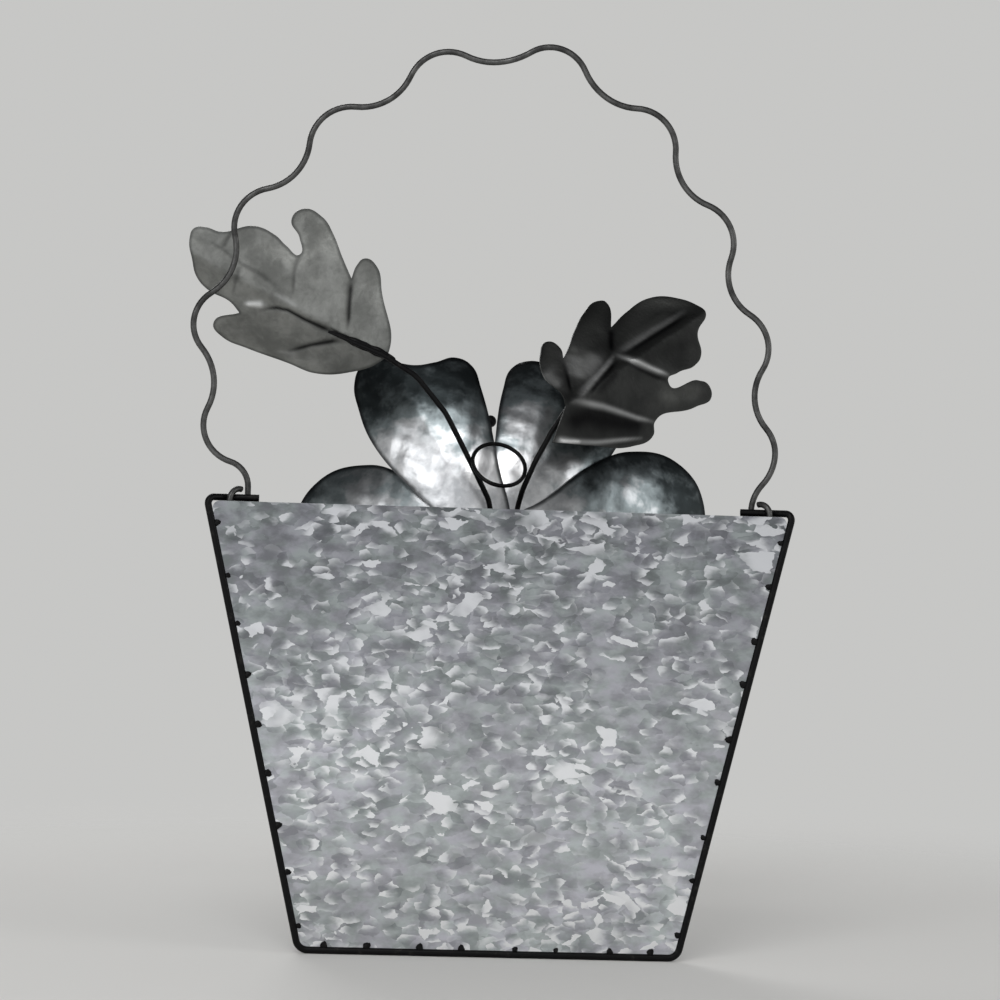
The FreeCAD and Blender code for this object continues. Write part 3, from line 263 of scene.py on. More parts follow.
def zinc_spangle():
    """Hot-dip zinc: soft grey mottling, paler towards the bottom by painted light and darker towards the top
    by painted shade, and clusters of facets in three sizes with painted highlights and painted shade.
    """
    material, tree, surface, place = new_finish("zinc_spangle", 0.9)
    wide = add_node(tree, "ShaderNodeMapping")
    feed(tree, wide.inputs["Vector"], place)
    wide.inputs["Scale"].default_value = SPANGLE_SQUEEZE
    ragged = moved_place(tree, wide.outputs[0], 0.003, 300)
    mottle = cloud_of(tree, ragged, 120, 4, 0.55)
    clusters = cloud_of(tree, place, 30, 3, 0.6).outputs["Fac"]
    drift = cloud_of(tree, place, 14, 3, 0.55).outputs["Fac"]
    parts = add_node(tree, "ShaderNodeSeparateXYZ")
    feed(tree, parts.inputs[0], place)
    # Painted light towards the bottom of the panel and painted shade towards its top
    height = stretch_of(tree, parts.outputs["Z"], ZINC_PAINTED_LIGHT_END, ZINC_PAINTED_SHADE_FULL)
    dark = blend_of(tree, height, ZINC_DARK_LIT_LOW, ZINC_DARK_SHADED_HIGH)
    pale = blend_of(tree, height, ZINC_PALE_LIT_LOW, ZINC_PALE_SHADED_HIGH)
    calm = blend_of(tree, stretch_of(tree, mottle.outputs["Fac"], 0.32, 0.68), dark, pale)
    hue = stretch_of(tree, shade_of(tree, mottle, 1), 0.35, 0.65)
    calm = blend_of(tree, 1.0, calm, blend_of(tree, hue, ZINC_GREENISH, ZINC_BLUISH), "MULTIPLY")
    shaded = add_node(tree, "ShaderNodeVectorMath", operation="SCALE")
    feed(tree, shaded.inputs[0], calm)
    feed(tree, shaded.inputs["Scale"], stretch_of(tree, drift, 0.3, 0.7, 0.88, 1.1))
    gathered = result_of(tree, "ADD", clusters, result_of(tree, "MULTIPLY", drift, 0.8))
    gate = stretch_of(tree, gathered, 0.68, 1.1, 0.76, 0.3)
    small_gate = result_of(tree, "SUBTRACT", gate, 0.1)
    broad_gate = stretch_of(tree, gathered, 0.8, 1.15, 0.9, 0.55)
    # Facets of the spangle's own crystals, each with a painted highlight on one side and painted shade on the
    # other
    fleck, dim = facets_of(tree, ragged, SPANGLE_FLECKS, gate)
    small, small_dim = facets_of(tree, ragged, SPANGLE_SMALL_FLECKS, small_gate)
    broad, broad_dim = facets_of(tree, ragged, SPANGLE_BROAD_FLECKS, broad_gate)
    small = result_of(tree, "MULTIPLY", small, 0.95)
    bright = result_of(tree, "MAXIMUM", result_of(tree, "MAXIMUM", fleck, small), broad)
    shadow = result_of(tree, "MAXIMUM", result_of(tree, "MAXIMUM", dim, small_dim), broad_dim)
    shadow = result_of(tree, "MULTIPLY", shadow, 0.5)
    colour = blend_of(tree, shadow, shaded.outputs[0], ZINC_SHADOW, "MULTIPLY")
    # Painted highlight colour of the facets, itself in painted shade towards the top of the panel
    colour = blend_of(tree, bright, colour, blend_of(tree, height, ZINC_HIGHLIGHT_LIT_LOW, ZINC_HIGHLIGHT_SHADED_HIGH))
    feed(tree, surface.inputs["Base Color"], colour)
    feed(tree, surface.inputs["Roughness"], stretch_of(tree, bright, 0.0, 1.0, 0.5, 0.36))
    relief = result_of(tree, "ADD", mottle.outputs["Fac"], result_of(tree, "MULTIPLY", bright, 0.6))
    normal = ripple_of(tree, relief, 0.00008, 0.4)
    dents = cloud_of(tree, place, 22, 2).outputs["Fac"]
    feed(tree, surface.inputs["Normal"], ripple_of(tree, dents, 0.0012, 0.5, normal))
    return material


def black_coating():
    """Satin black on wire, worn towards brown-grey in small patches."""
    material, tree, surface, place = new_finish("black_coating", 0.0)
    wear_and_painted_light = stretch_of(tree, cloud_of(tree, place, 260, 4, 0.65).outputs["Fac"], 0.56, 0.76)
    feed(tree, surface.inputs["Base Color"], blend_of(tree, wear_and_painted_light, COATING_BLACK, COATING_WORN))
    surface.inputs["Specular IOR Level"].default_value = 0.13
    feed(tree, surface.inputs["Roughness"], stretch_of(tree, wear_and_painted_light, 0, 1, 0.42, 0.62))
    pits = cloud_of(tree, place, 1400, 2).outputs["Fac"]
    feed(tree, surface.inputs["Normal"], ripple_of(tree, pits, 0.0001, 0.35))
    return material


def annealed_wire():
    """Bare wire gone dark grey, paler and smoother in patches."""
    material, tree, surface, place = new_finish("annealed_wire", 0.85)
    cloud = cloud_of(tree, place, 150, 4, 0.6).outputs["Fac"]
    colour = blend_of(tree, stretch_of(tree, cloud, 0.3, 0.7), WIRE_DARK, WIRE_PALE)
    feed(tree, surface.inputs["Base Color"], colour)
    feed(tree, surface.inputs["Roughness"], stretch_of(tree, cloud, 0.3, 0.7, 0.55, 0.36))
    pits = cloud_of(tree, place, 1200, 3).outputs["Fac"]
    feed(tree, surface.inputs["Normal"], ripple_of(tree, pits, 0.00012, 0.4))
    return material


def flower_tin():
    """Bright tin with a dark blue-green bloom towards the rims, partly patina and partly painted shade, with
    painted highlights, mottled and lightly hammered.
    """
    material, tree, surface, place = new_finish("flower_tin", 1.0)
    ragged = moved_place(tree, place, 0.008, 80)
    mottle = cloud_of(tree, ragged, 75, 3, 0.6).outputs["Fac"]
    stain = cloud_of(tree, place, 210, 3, 0.6).outputs["Fac"]
    # Dark bloom that is partly patina and partly painted shade, cleared by painted highlights
    patina_and_painted_shading = attribute_of(tree, "patina_and_painted_shading")
    rim = attribute_of(tree, "edge_distance")
    uneven = result_of(tree, "ADD", stretch_of(tree, mottle, 0.3, 0.7, -0.2, 0.2), patina_and_painted_shading)
    uneven = result_of(tree, "ADD", stretch_of(tree, stain, 0.35, 0.65, -0.07, 0.07), uneven)
    bright = blend_of(tree, stretch_of(tree, stain, 0.35, 0.65), TIN_GREY, TIN_PALE)
    # Painted highlight where the bloom is cleared most
    bright = blend_of(tree, stretch_of(tree, uneven, -0.4, -0.05), TIN_HIGHLIGHT, bright)
    half = blend_of(tree, stretch_of(tree, uneven, 0.15, 0.55), bright, TIN_BLOOM_AND_SHADE)
    colour = blend_of(tree, stretch_of(tree, uneven, 0.5, 1.05), half, TIN_DARK_BLOOM_AND_SHADE)
    colour = blend_of(tree, stretch_of(tree, rim, 0.0006, 0.0024, 0.85, 0.0), colour, TIN_RIM)
    feed(tree, surface.inputs["Base Color"], colour)
    feed(tree, surface.inputs["Roughness"], stretch_of(tree, uneven, 0.0, 1.0, 0.3, 0.4))
    normal = ripple_of(tree, stain, 0.0004, 0.3)
    hammer = crystals_of(tree, ragged, 80, 0.6).outputs["Distance"]
    feed(tree, surface.inputs["Normal"], ripple_of(tree, hammer, 0.0014, 0.3, normal))
    return material


def leaf_tin():
    """Dull tin, darkened in places by painted shade, black in its creases by painted shade, with painted
    highlights on its ridges.
    """
    material, tree, surface, place = new_finish("leaf_tin", 0.95)
    cloud = cloud_of(tree, moved_place(tree, place, 0.006, 110), 75, 4, 0.6).outputs["Fac"]
    fine = cloud_of(tree, place, 380, 3, 0.6).outputs["Fac"]
    rim = attribute_of(tree, "edge_distance")
    colour = blend_of(tree, stretch_of(tree, cloud, 0.33, 0.67), LEAF_DARK, LEAF_PALE)
    colour = blend_of(tree, stretch_of(tree, fine, 0.55, 0.75, 0.0, 0.35), colour, LEAF_STAIN)
    # Painted shade over the right leaf, lifted in patches by painted light
    colour = blend_of(tree, attribute_of(tree, "patina_and_painted_shading"), colour, LEAF_PAINTED_SHADE)
    # Painted shade in the creases
    colour = blend_of(tree, attribute_of(tree, "crease"), colour, LEAF_CREASE_SHADE)
    colour = blend_of(tree, stretch_of(tree, rim, 0.0003, 0.0016, 0.6, 0.0), colour, LEAF_RIM)
    # Painted highlights along the ridges
    colour = blend_of(tree, attribute_of(tree, "ridge"), colour, LEAF_RIDGE_HIGHLIGHT)
    feed(tree, surface.inputs["Base Color"], colour)
    feed(tree, surface.inputs["Roughness"], stretch_of(tree, cloud, 0.3, 0.7, 0.56, 0.44))
    normal = ripple_of(tree, cloud, 0.0016, 0.35)
    feed(tree, surface.inputs["Normal"], ripple_of(tree, fine, 0.00025, 0.4, normal))
    return material


def rivet_metal():
    """Bright rivet metal with a little grey bloom."""
    material, tree, surface, place = new_finish("rivet_metal", 1.0)
    cloud = cloud_of(tree, place, 380, 3, 0.6).outputs["Fac"]
    feed(tree, surface.inputs["Base Color"], blend_of(tree, cloud, RIVET_GREY, RIVET_BRIGHT))
    feed(tree, surface.inputs["Roughness"], stretch_of(tree, cloud, 0.3, 0.7, 0.42, 0.26))
    feed(tree, surface.inputs["Normal"], ripple_of(tree, cloud, 0.0002, 0.3))
    return material


finishes = {
    "galvanised_sheet": zinc_spangle(), "black_wire": black_coating(), "bail_wire": annealed_wire(),
    "flower_tin": flower_tin(), "leaf_tin": leaf_tin(), "bright_rivet": rivet_metal(),
}


def dress_cad_nodes():
    """Gives every CAD node the finish of its slot."""
    for subpart in frame["record"]["subparts"]:
        node = nodes[subpart["node"]]
        for slot in node.material_slots:
            slot.material = finishes[subpart["material_slot"]]


# Cut and formed sheet pieces: the cutter's sizes in metres, the sheet's margin in millimetres

CUTTER_START = 0.05
CUTTER_HALF_HEIGHT = 0.01
CUTTER_STEPS = 24
CUTTER_MERGE = 0.00001
SHEET_MARGIN = 6
SMOOTH_ANGLE = math.radians(40)


def outline_cutter(points):
    """Prism with a closed outline through points in millimetres, a multiple of four; some are sharp."""
    bpy.ops.curve.primitive_bezier_circle_add(radius=CUTTER_START, location=(0, 0, 0))
    curve = bpy.context.object
    bpy.ops.object.mode_set(mode="EDIT")
    bpy.ops.curve.select_all(action="SELECT")
    bpy.ops.curve.subdivide(number_cuts=len(points) // 4 - 1)
    bpy.ops.object.mode_set(mode="OBJECT")
    spline = curve.data.splines[0]
    for knot, (along, across, *sharp) in zip(spline.bezier_points, points):
        knot.co = (along * MM, across * MM, 0)
        knot.handle_left_type = "VECTOR" if sharp else "AUTO"
        knot.handle_right_type = "VECTOR" if sharp else "AUTO"
    curve.data.resolution_u = CUTTER_STEPS
    curve.data.dimensions = "2D"
    curve.data.fill_mode = "BOTH"
    curve.data.extrude = CUTTER_HALF_HEIGHT
    bpy.ops.object.convert(target="MESH")
    cutter = bpy.context.object
    bpy.ops.object.mode_set(mode="EDIT")
    bpy.ops.mesh.select_all(action="SELECT")
    bpy.ops.mesh.remove_doubles(threshold=CUTTER_MERGE)
    bpy.ops.mesh.normals_make_consistent(inside=False)
    bpy.ops.object.mode_set(mode="OBJECT")
    return cutter


def cut_sheet(name, points, thickness, pitch):
    """Flat sheet cut to an outline, its faces divided by a grid so that it can be formed."""
    cutter = outline_cutter(points)
    rim = [vertex.co.copy() for vertex in cutter.data.vertices if vertex.co.z > CUTTER_HALF_HEIGHT / 2]
    low = [min(point[i] for point in points) - SHEET_MARGIN for i in (0, 1)]
    high = [max(point[i] for point in points) + SHEET_MARGIN for i in (0, 1)]
    spans = [high[i] - low[i] for i in (0, 1)]
    middle = [(high[i] + low[i]) / 2 * MM for i in (0, 1)]
    columns, rows = [round(span / pitch) for span in spans]
    bpy.ops.object.select_all(action="DESELECT")
    bpy.ops.mesh.primitive_grid_add(x_subdivisions=columns, y_subdivisions=rows, size=1,
                                    location=(middle[0], middle[1], 0))
    sheet = bpy.context.object
    sheet.name = name
    sheet.scale = (spans[0] * MM, spans[1] * MM, 1)
    bpy.ops.object.transform_apply(location=True, rotation=False, scale=True)
    thick = sheet.modifiers.new("thickness", "SOLIDIFY")
    thick.thickness = thickness * MM
    thick.offset = 0
    bpy.ops.object.modifier_apply(modifier=thick.name)
    trim = sheet.modifiers.new("trim", "BOOLEAN")
    trim.operation = "INTERSECT"
    trim.solver = "EXACT"
    trim.object = cutter
    bpy.ops.object.modifier_apply(modifier=trim.name)
    bpy.data.objects.remove(cutter)
    tree = KDTree(len(rim))
    for i, spot in enumerate(rim):
        tree.insert((spot.x, spot.y, 0), i)
    tree.balance()
    distance = sheet.data.attributes.new("edge_distance", "FLOAT", "POINT")
    for vertex in sheet.data.vertices:
        nearest = tree.find((vertex.co.x, vertex.co.y, 0))
        distance.data[vertex.index].value = nearest[2]
    return sheet


def finish_piece(piece, body, slot, replaced):
    """Smooths a new piece, gives it its finish and hands it to its body."""
    bpy.ops.object.select_all(action="DESELECT")
    piece.select_set(True)
    bpy.context.view_layer.objects.active = piece
    bpy.ops.object.shade_smooth_by_angle(angle=SMOOTH_ANGLE)
    piece.data.materials.clear()
    piece.data.materials.append(finishes[slot])
    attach(piece, body)
    for node in replaced:
        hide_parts(node)
    piece.select_set(False)


def eased(value, low, high):
    """0 below low, 1 above high, smooth between."""
    share = min(1, max(0, (value - low) / (high - low)))
    return share * share * (3 - 2 * share)


def nearest_on_run(spot, run):
    """Distance in the sheet's plane from a spot to a run of straight pieces, and its share along the run."""
    lengths = [(Vector(end) - Vector(start)).length for start, end in zip(run, run[1:])]
    best, best_share, passed = math.inf, 0, 0
    for start, end, length in zip(run, run[1:], lengths):
        start = Vector(start)
        reach = Vector(end) - start
        share = min(1, max(0, (spot - start).dot(reach) / length ** 2))
        apart = (spot - start - reach * share).length
        if apart < best:
            best = apart
            best_share = (passed + share * length) / sum(lengths)
        passed += length
    return best, best_share


# Flower petals in millimetres: radii of their bends and outlines round the hub, seen from the flat back

HUB = Vector((0, 43.8, 175.5))
INNER_CURVE = 150
OUTER_CURVE = 130
SPOON = 62
PETAL_SHEET = 0.6
PETAL_STEP = 0.9
PETAL_GRID = 1.6
PETAL_ROOT = 7
PETAL_FIXED = 18
PETAL_FREE = 52
PETAL_RIM = 11
RIM_RIPPLE = 0.35
RIM_RIPPLES = 7
HAMMER_DEPTH = 0.16
GROOVE_DEPTH = 0.3
GROOVE_HALF_WIDTH = 2.2
PETAL_WAIST = 0.36
PETAL_SHOULDER = 0.76
SHOULDER_WIDTH = 0.92
DIAGONAL = 0.71
ROOT_CORNER = (-1.5, 6.8)
INNER_BULGE = 3
BULGE_UP = (35, 68)
BULGE_ACROSS = (12, 30)
UPPER_PETAL = [(6.8, 1.8), (1, 38), (-6.8, 71), (-10.8, 80.8), (-18.5, 84.6), (-28, 82), (-37, 80.4),
               (-45, 81.5), (-53, 83.4), (-61.5, 79.6), (-64.6, 71), (-62.5, 60), (-55, 43), (-30, 17),
               (-5.6, -4.2), (1, -6.9)]

# Painted highlights in the dark bloom: their place across and up from the hub, their reach and their share
HUB_HIGHLIGHT = (0, 0, 48, 1.1)
UPPER_LEFT_HIGHLIGHTS = [(-37, 36, 23, 1), (-14, 44, 21, 0.55), (-5, 33, 12, 1.5)]
RIGHT_HIGHLIGHTS = [(62, 18, 20, 0.54)]
LEFT_HIGHLIGHTS = [(-54, 15, 26, 0.66)]
UPPER_RIGHT_HIGHLIGHTS = [(13, 52, 21, 0.72), (30, 30, 15, 0.8), (8, 33, 12, 1.4)]
LOWER_HIGHLIGHTS = [(0, -40, 16, 0.5)]


def round_petal(reach, degrees, radius):
    """Outline of a petal with a round end."""
    waist = PETAL_ROOT + (radius - PETAL_ROOT) * PETAL_WAIST
    slant = radius * DIAGONAL
    half = [ROOT_CORNER, (reach * PETAL_WAIST, waist), (reach * PETAL_SHOULDER, radius * SHOULDER_WIDTH),
            (reach, radius), (reach + slant, slant)]
    other_half = [(along, -side) for along, side in half]
    shape = [(-PETAL_ROOT, 0), *other_half, (reach + radius, 0), *reversed(half)]
    angle = math.radians(degrees)
    across, up = math.cos(angle), math.sin(angle)
    return [(along * across - side * up, along * up + side * across) for along, side in shape]


def fuller_mirrored(points):
    """Upper petal's outline turned over to the other side, with a fuller inner edge."""
    mirrored = []
    for across, up in reversed(points):
        fuller = INNER_BULGE * eased(up, *BULGE_UP) * (1 - eased(-across, *BULGE_ACROSS))
        mirrored.append((-across - fuller, up))
    return mirrored


def make_petal(name, layer, outline, degrees, curve, painted_highlights):
    """Petal formed like a spoon that is bent along its axis, with painted highlights in its dark bloom."""
    petal = cut_sheet(name, outline, PETAL_SHEET, PETAL_GRID)
    angle = math.radians(degrees)
    spoon = SPOON - PETAL_STEP * layer - PETAL_SHEET / 2
    patina_and_painted_shading = petal.data.attributes.new("patina_and_painted_shading", "FLOAT", "POINT").data
    edge = petal.data.attributes["edge_distance"].data
    for vertex in petal.data.vertices:
        across, up, lift = [value / MM for value in vertex.co]
        along = across * math.cos(angle) + up * math.sin(angle)
        beside = up * math.cos(angle) - across * math.sin(angle)
        ridge = curve - SPOON + math.sqrt(spoon ** 2 - beside ** 2)
        depth = curve - math.sqrt(ridge ** 2 - along ** 2)
        free = eased(math.hypot(across, up), PETAL_FIXED, PETAL_FREE)
        near_edge = 1 - eased(edge[vertex.index].value / MM, 0, PETAL_RIM)
        ripple = RIM_RIPPLE * near_edge * math.sin(RIM_RIPPLES * math.atan2(up, across) + degrees)
        blows = math.sin(across / 1.9 + up / 3.1 + degrees) * math.sin(up / 2.1 - across / 4.3)
        groove = math.exp(-(beside / GROOVE_HALF_WIDTH) ** 2)
        depth += free * (ripple + HAMMER_DEPTH * blows - GROOVE_DEPTH * groove)
        # Painted highlights: bright spots that clear the dark bloom
        clear = 0
        for x, z, reach, share in painted_highlights:
            clear = max(clear, share * math.exp(-(math.hypot(across - x, up - z) / reach) ** 4))
        patina_and_painted_shading[vertex.index].value = 1 - clear
        vertex.co = (HUB + Vector((across, depth - lift, up))) * MM
    finish_piece(petal, "pocket", "flower_tin", [name.replace("formed_", "")])


def make_petals():
    """Two notched upper petals, two round side petals and a lower one, from the wall outwards."""
    layers = [("upper_left", UPPER_PETAL, 121, INNER_CURVE, UPPER_LEFT_HIGHLIGHTS),
              ("right", round_petal(70, 11, 31), 11, INNER_CURVE, RIGHT_HIGHLIGHTS),
              ("left", round_petal(58.5, 177.5, 31.5), 177.5, OUTER_CURVE, LEFT_HIGHLIGHTS),
              ("upper_right", fuller_mirrored(UPPER_PETAL), 59, OUTER_CURVE, UPPER_RIGHT_HIGHLIGHTS),
              ("lower", round_petal(46, 270, 30), 270, OUTER_CURVE, LOWER_HIGHLIGHTS)]
    for layer, (place, outline, degrees, curve, painted_highlights) in enumerate(layers):
        make_petal("formed_petal_" + place, layer, outline, degrees, curve, painted_highlights + [HUB_HIGHLIGHT])


# Leaves: outlines in millimetres along and across the middle fold, from the stem to the tip

LEFT_LEAF = [(-0.6, 2.4), (14.4, 22.6), (21.6, 31), (28, 31.8), (29.6, 28.1), (29, 21.7, "sharp"), (37, 28),
             (45, 34.2), (53, 38.2), (62.4, 37.5), (64.4, 31.4), (57.5, 26.2), (54, 20.4), (61, 20.6),
             (67.6, 22.4), (77.4, 22), (89.2, 13.2), (96.4, 11.6), (100.4, 8.8), (100, 4.6), (95.2, -2.7),
             (89.6, -10.3), (83, -13.2), (71.6, -12.8), (65.8, -15.1, "sharp"), (74.2, -26.1),
             (67.9, -30.3), (56.5, -30.1), (36.7, -26.4), (23.8, -24.3), (10.2, -15.6), (0.9, -4.4)]
RIGHT_LEAF = [(-2.5, 5.5), (-3.3, 16), (6.1, 25.8), (15.4, 28.1), (17.1, 23), (13.7, 18.3, "sharp"),
              (21.3, 21.1), (29.9, 25.7), (43.1, 30.6), (56.8, 31.2), (58.7, 29.2), (47.2, 18.2, "sharp"),
              (63, 20.2), (77.7, 20), (91.5, 12.6), (98, 5), (99, 0), (89.1, -6), (87, -15.2),
              (79.7, -17.6), (65.5, -15.9), (58.3, -16.6), (77, -24.3), (83.5, -29.5), (82, -34),
              (70, -33.8), (42, -28.7), (38, -33.2), (23.9, -32), (0, -20.8), (-21.4, -10, "sharp"),
              (-5.5, 0.2, "sharp")]

# Lines on the leaves, painted shade along the creases and painted highlights along the ridges: their run,
# their half width at the start and how dark or bright they are
LEFT_SHADED_CREASES = [([(22, -2), (39, -3.2), (47, -3), (52, -4.6), (58.3, -9.2)], 1.4, 1.0),
                ([(19, -3.5), (23.3, -6.1), (31.4, -13.1), (38.9, -21)], 1.5, 1.0),
                ([(29, 21.7), (24.5, 12), (19.8, 2.5)], 1.5, 0.9),
                ([(54, 20.4), (52.3, 12.6), (48.5, 4.6)], 1.2, 0.45),
                ([(53, 3.1), (63.7, 5.3), (74.6, 5.3), (85, 7), (93.6, 7.5)], 1.3, 0.4),
                ([(85, 7), (84.8, 17)], 1.4, 0.5), ([(74.6, 5), (72, -9.4)], 1.2, 0.4)]
LEFT_HIGHLIGHT_RIDGES = [([(57.6, -6), (65.4, -10.2)], 1.6, 0.95), ([(44, 0.8), (56, 1)], 1.3, 0.15),
               ([(34, -20), (44, -24)], 1.2, 0.12)]
RIGHT_SHADED_CREASES = [([(38.5, 4), (45, -4), (58.5, -17)], 1.6, 1.0),
                 ([(9, -1.2), (23, 1.6), (37, 4.3)], 1.6, 1.0),
                 ([(41, 4.8), (62, 4.3), (89, 3.7)], 1.6, 0.95),
                 ([(0, -3.2), (15, -12.8), (32, -25.6)], 2.0, 1.0),
                 ([(13.7, 18.3), (8, 11), (2, 3.5)], 1.6, 1.0),
                 ([(47.2, 18.2), (42, 13), (37.4, 8.6)], 2.4, 1.0),
                 ([(20, -18.5), (4, -9.5), (-12, -5.5)], 8, 1.0),
                 ([(8, -12), (22, -20.5), (37, -28)], 7, 1.0),
                 ([(14, -2.5), (34, 0)], 3.5, 0.7), ([(46, 0), (62, -4), (84, -8)], 7, 0.45)]
RIGHT_HIGHLIGHT_RIDGES = [([(5, 1), (23, 4.2), (37.5, 7)], 1.6, 0.42), ([(37.5, 7), (62, 7), (90, 6)], 1.7, 0.2),
                ([(37.5, 6.8), (43, 0.6), (59.5, -14.2)], 1.6, 0.5),
                ([(0, 0), (15.3, -9.5), (32.9, -22.8), (42, -28.7)], 1.5, 0.33),
                ([(-19, -10.4), (4.4, -21.4), (30.3, -31.3)], 1.2, 0.33),
                ([(-18, -10.9), (-4, -17.4)], 1.4, 0.9), ([(21, 17), (17, 13), (11, 6.5)], 7, 0.32),
                ([(15, 9), (31, 10)], 6, 0.3), ([(-1, 19), (0, 8)], 6, 0.25)]

# Patches of the right leaf where its painted shade gives way to painted light: their run, half width and
# share
RIGHT_PAINTED_LIGHT = [([(10, 9), (22, 13), (29, 10)], 8, 0.75), ([(16, 13), (24, 21)], 5.5, 0.7),
              ([(-1, 18), (-1, 9)], 4.5, 0.5), ([(46, 9), (62, 9.5), (84, 9)], 4.5, 0.3),
              ([(48, -20), (78, -29)], 6, 0.25), ([(2, 15), (9, 22), (18, 28)], 7, 0.38),
              ([(24, 16), (42, 23), (64, 32)], 7, 0.2), ([(48, 13), (76, 16), (104, 6)], 7, 0.3)]

# Forming and seats of the leaves: millimetres and degrees
LEAF_SHEET = 0.6
LEAF_GRID = 0.75
LEAF_FOLD = 17.5
FOLD_ROUNDING = 1.5
LINE_RELIEF = 0.5
LINE_FADE = 4
LINE_END_SHARE = 0.2
LEAF_WAVE = 0.7
WAVE_ALONG = (30, 60)
WAVE_ACROSS = (6, 20)
LEAF_RIM_WIDTH = 12
LEAF_CURL = 2
CURL_ALONG = (55, 110)
CURL_ACROSS = (14, 40)
LEAF_MARKS = ("crease", "ridge", "patina_and_painted_shading")
LEFT_SEAT = Vector((-51.3, 22, 257.2))
LEFT_RISE = 26.3
LEFT_ROLL = 17.5
LEFT_BEHIND_STEM = 1.6
RIGHT_SEAT = Vector((31.9, 26, 239.5))
RIGHT_RISE = 35
RIGHT_LEAN = 37
RIGHT_BEFORE_STEM = 1.7
# Share of each leaf under painted shade
LEFT_PAINTED_SHADE = 0
RIGHT_PAINTED_SHADE = 0.92


def line_shade(spot, lines):
    """Strongest shade of any line at a spot; each line thins towards its end and fades at both ends."""
    strongest = 0
    for run, half_width, shade in lines:
        apart, share = nearest_on_run(spot, run)
        to_end = min(share, 1 - share)
        faded = shade * min(1, LINE_END_SHARE + LINE_FADE * to_end)
        strongest = max(strongest, faded * math.exp(-(apart / half_width / (1 - share / 2)) ** 2))
    return strongest


def make_leaf(name, outline, shaded_creases, highlight_ridges, patina_and_painted_shading, wear_and_painted_light, base, along, outward):
    """Leaf cut to its outline, folded along its middle, creased between its lobes and curled at its edges."""
    leaf = cut_sheet(name, outline, LEAF_SHEET, LEAF_GRID)
    side = outward.cross(along)
    facing = 1
    if side.z < 0:
        side = -side
        facing = -1
    slope = math.tan(math.radians(LEAF_FOLD))
    for mark in LEAF_MARKS:
        leaf.data.attributes.new(mark, "FLOAT", "POINT")
    marks = {mark: leaf.data.attributes[mark].data for mark in LEAF_MARKS}
    edge = leaf.data.attributes["edge_distance"].data
    for vertex in leaf.data.vertices:
        run, across, lift = [value / MM for value in vertex.co]
        spot = Vector((run, across))
        # Painted shade in the creases and painted highlights on the ridges
        dark = line_shade(spot, shaded_creases)
        light = line_shade(spot, highlight_ridges)
        marks["crease"][vertex.index].value = dark
        marks["ridge"][vertex.index].value = light
        # Painted shade, lifted by painted light in patches
        marks["patina_and_painted_shading"][vertex.index].value = patina_and_painted_shading * (1 - line_shade(spot, wear_and_painted_light))
        drop = slope * (math.sqrt(across ** 2 + FOLD_ROUNDING) - math.sqrt(FOLD_ROUNDING))
        free = eased(run, *WAVE_ALONG) + eased(abs(across), *WAVE_ACROSS)
        near_edge = 1 - eased(edge[vertex.index].value / MM, 0, LEAF_RIM_WIDTH)
        wave = LEAF_WAVE * free * math.sin(run / 7 + across / 11) * near_edge
        bend = LEAF_CURL * (eased(run, *CURL_ALONG) ** 2 + eased(abs(across), *CURL_ACROSS) ** 2 / 2)
        height = LINE_RELIEF * light - LINE_RELIEF * dark + wave - drop - bend + facing * lift
        vertex.co = (base + along * run + side * across + outward * height) * MM
    finish_piece(leaf, "pocket", "leaf_tin", [name.replace("formed_", "")])


# Left stem's end, which is bent along its leaf, and the seam on it: millimetres and degrees

SEAM_MIDDLE = 11
SEAM_HALF_LENGTH = 16
SEAM_HALF_WIDTH = 1.9
SEAM_TAPER = 0.6
SEAM_LIFT = 0.3
SEAM_HALF_HEIGHT = 1.5
STEM_RISE = 28.8
STEM_DROOP = 7.3
STEM_END_REACH = 40
STEM_MERGE = 0.000001
BEND_START = -6
BEND_END = 8
TAPER_START = 12
TAPER_END = 28
STEM_TAPER = 0.5


def make_solder_seam(base, along, outward):
    """Tapered black seam that holds the left stem's end on its leaf."""
    bpy.ops.object.select_all(action="DESELECT")
    bpy.ops.mesh.primitive_uv_sphere_add(segments=24, ring_count=40, radius=1, location=(0, 0, 0))
    seam = bpy.context.object
    seam.name = "left_stem_solder"
    side = outward.cross(along)
    for vertex in seam.data.vertices:
        across, height, share = vertex.co
        run = SEAM_MIDDLE + SEAM_HALF_LENGTH * share
        width = SEAM_HALF_WIDTH - SEAM_TAPER * share
        lump = 1 + 0.1 * math.sin(run / 1.7) + 0.06 * math.sin(run / 0.9 + 3 * across)
        level = SEAM_LIFT + SEAM_HALF_HEIGHT * height * lump
        spot = base + along * run + side * (across * width * lump) + outward * level
        vertex.co = spot * MM
    bpy.ops.object.mode_set(mode="EDIT")
    bpy.ops.mesh.select_all(action="SELECT")
    bpy.ops.mesh.normals_make_consistent(inside=False)
    bpy.ops.object.mode_set(mode="OBJECT")
    finish_piece(seam, "pocket", "black_wire", [])


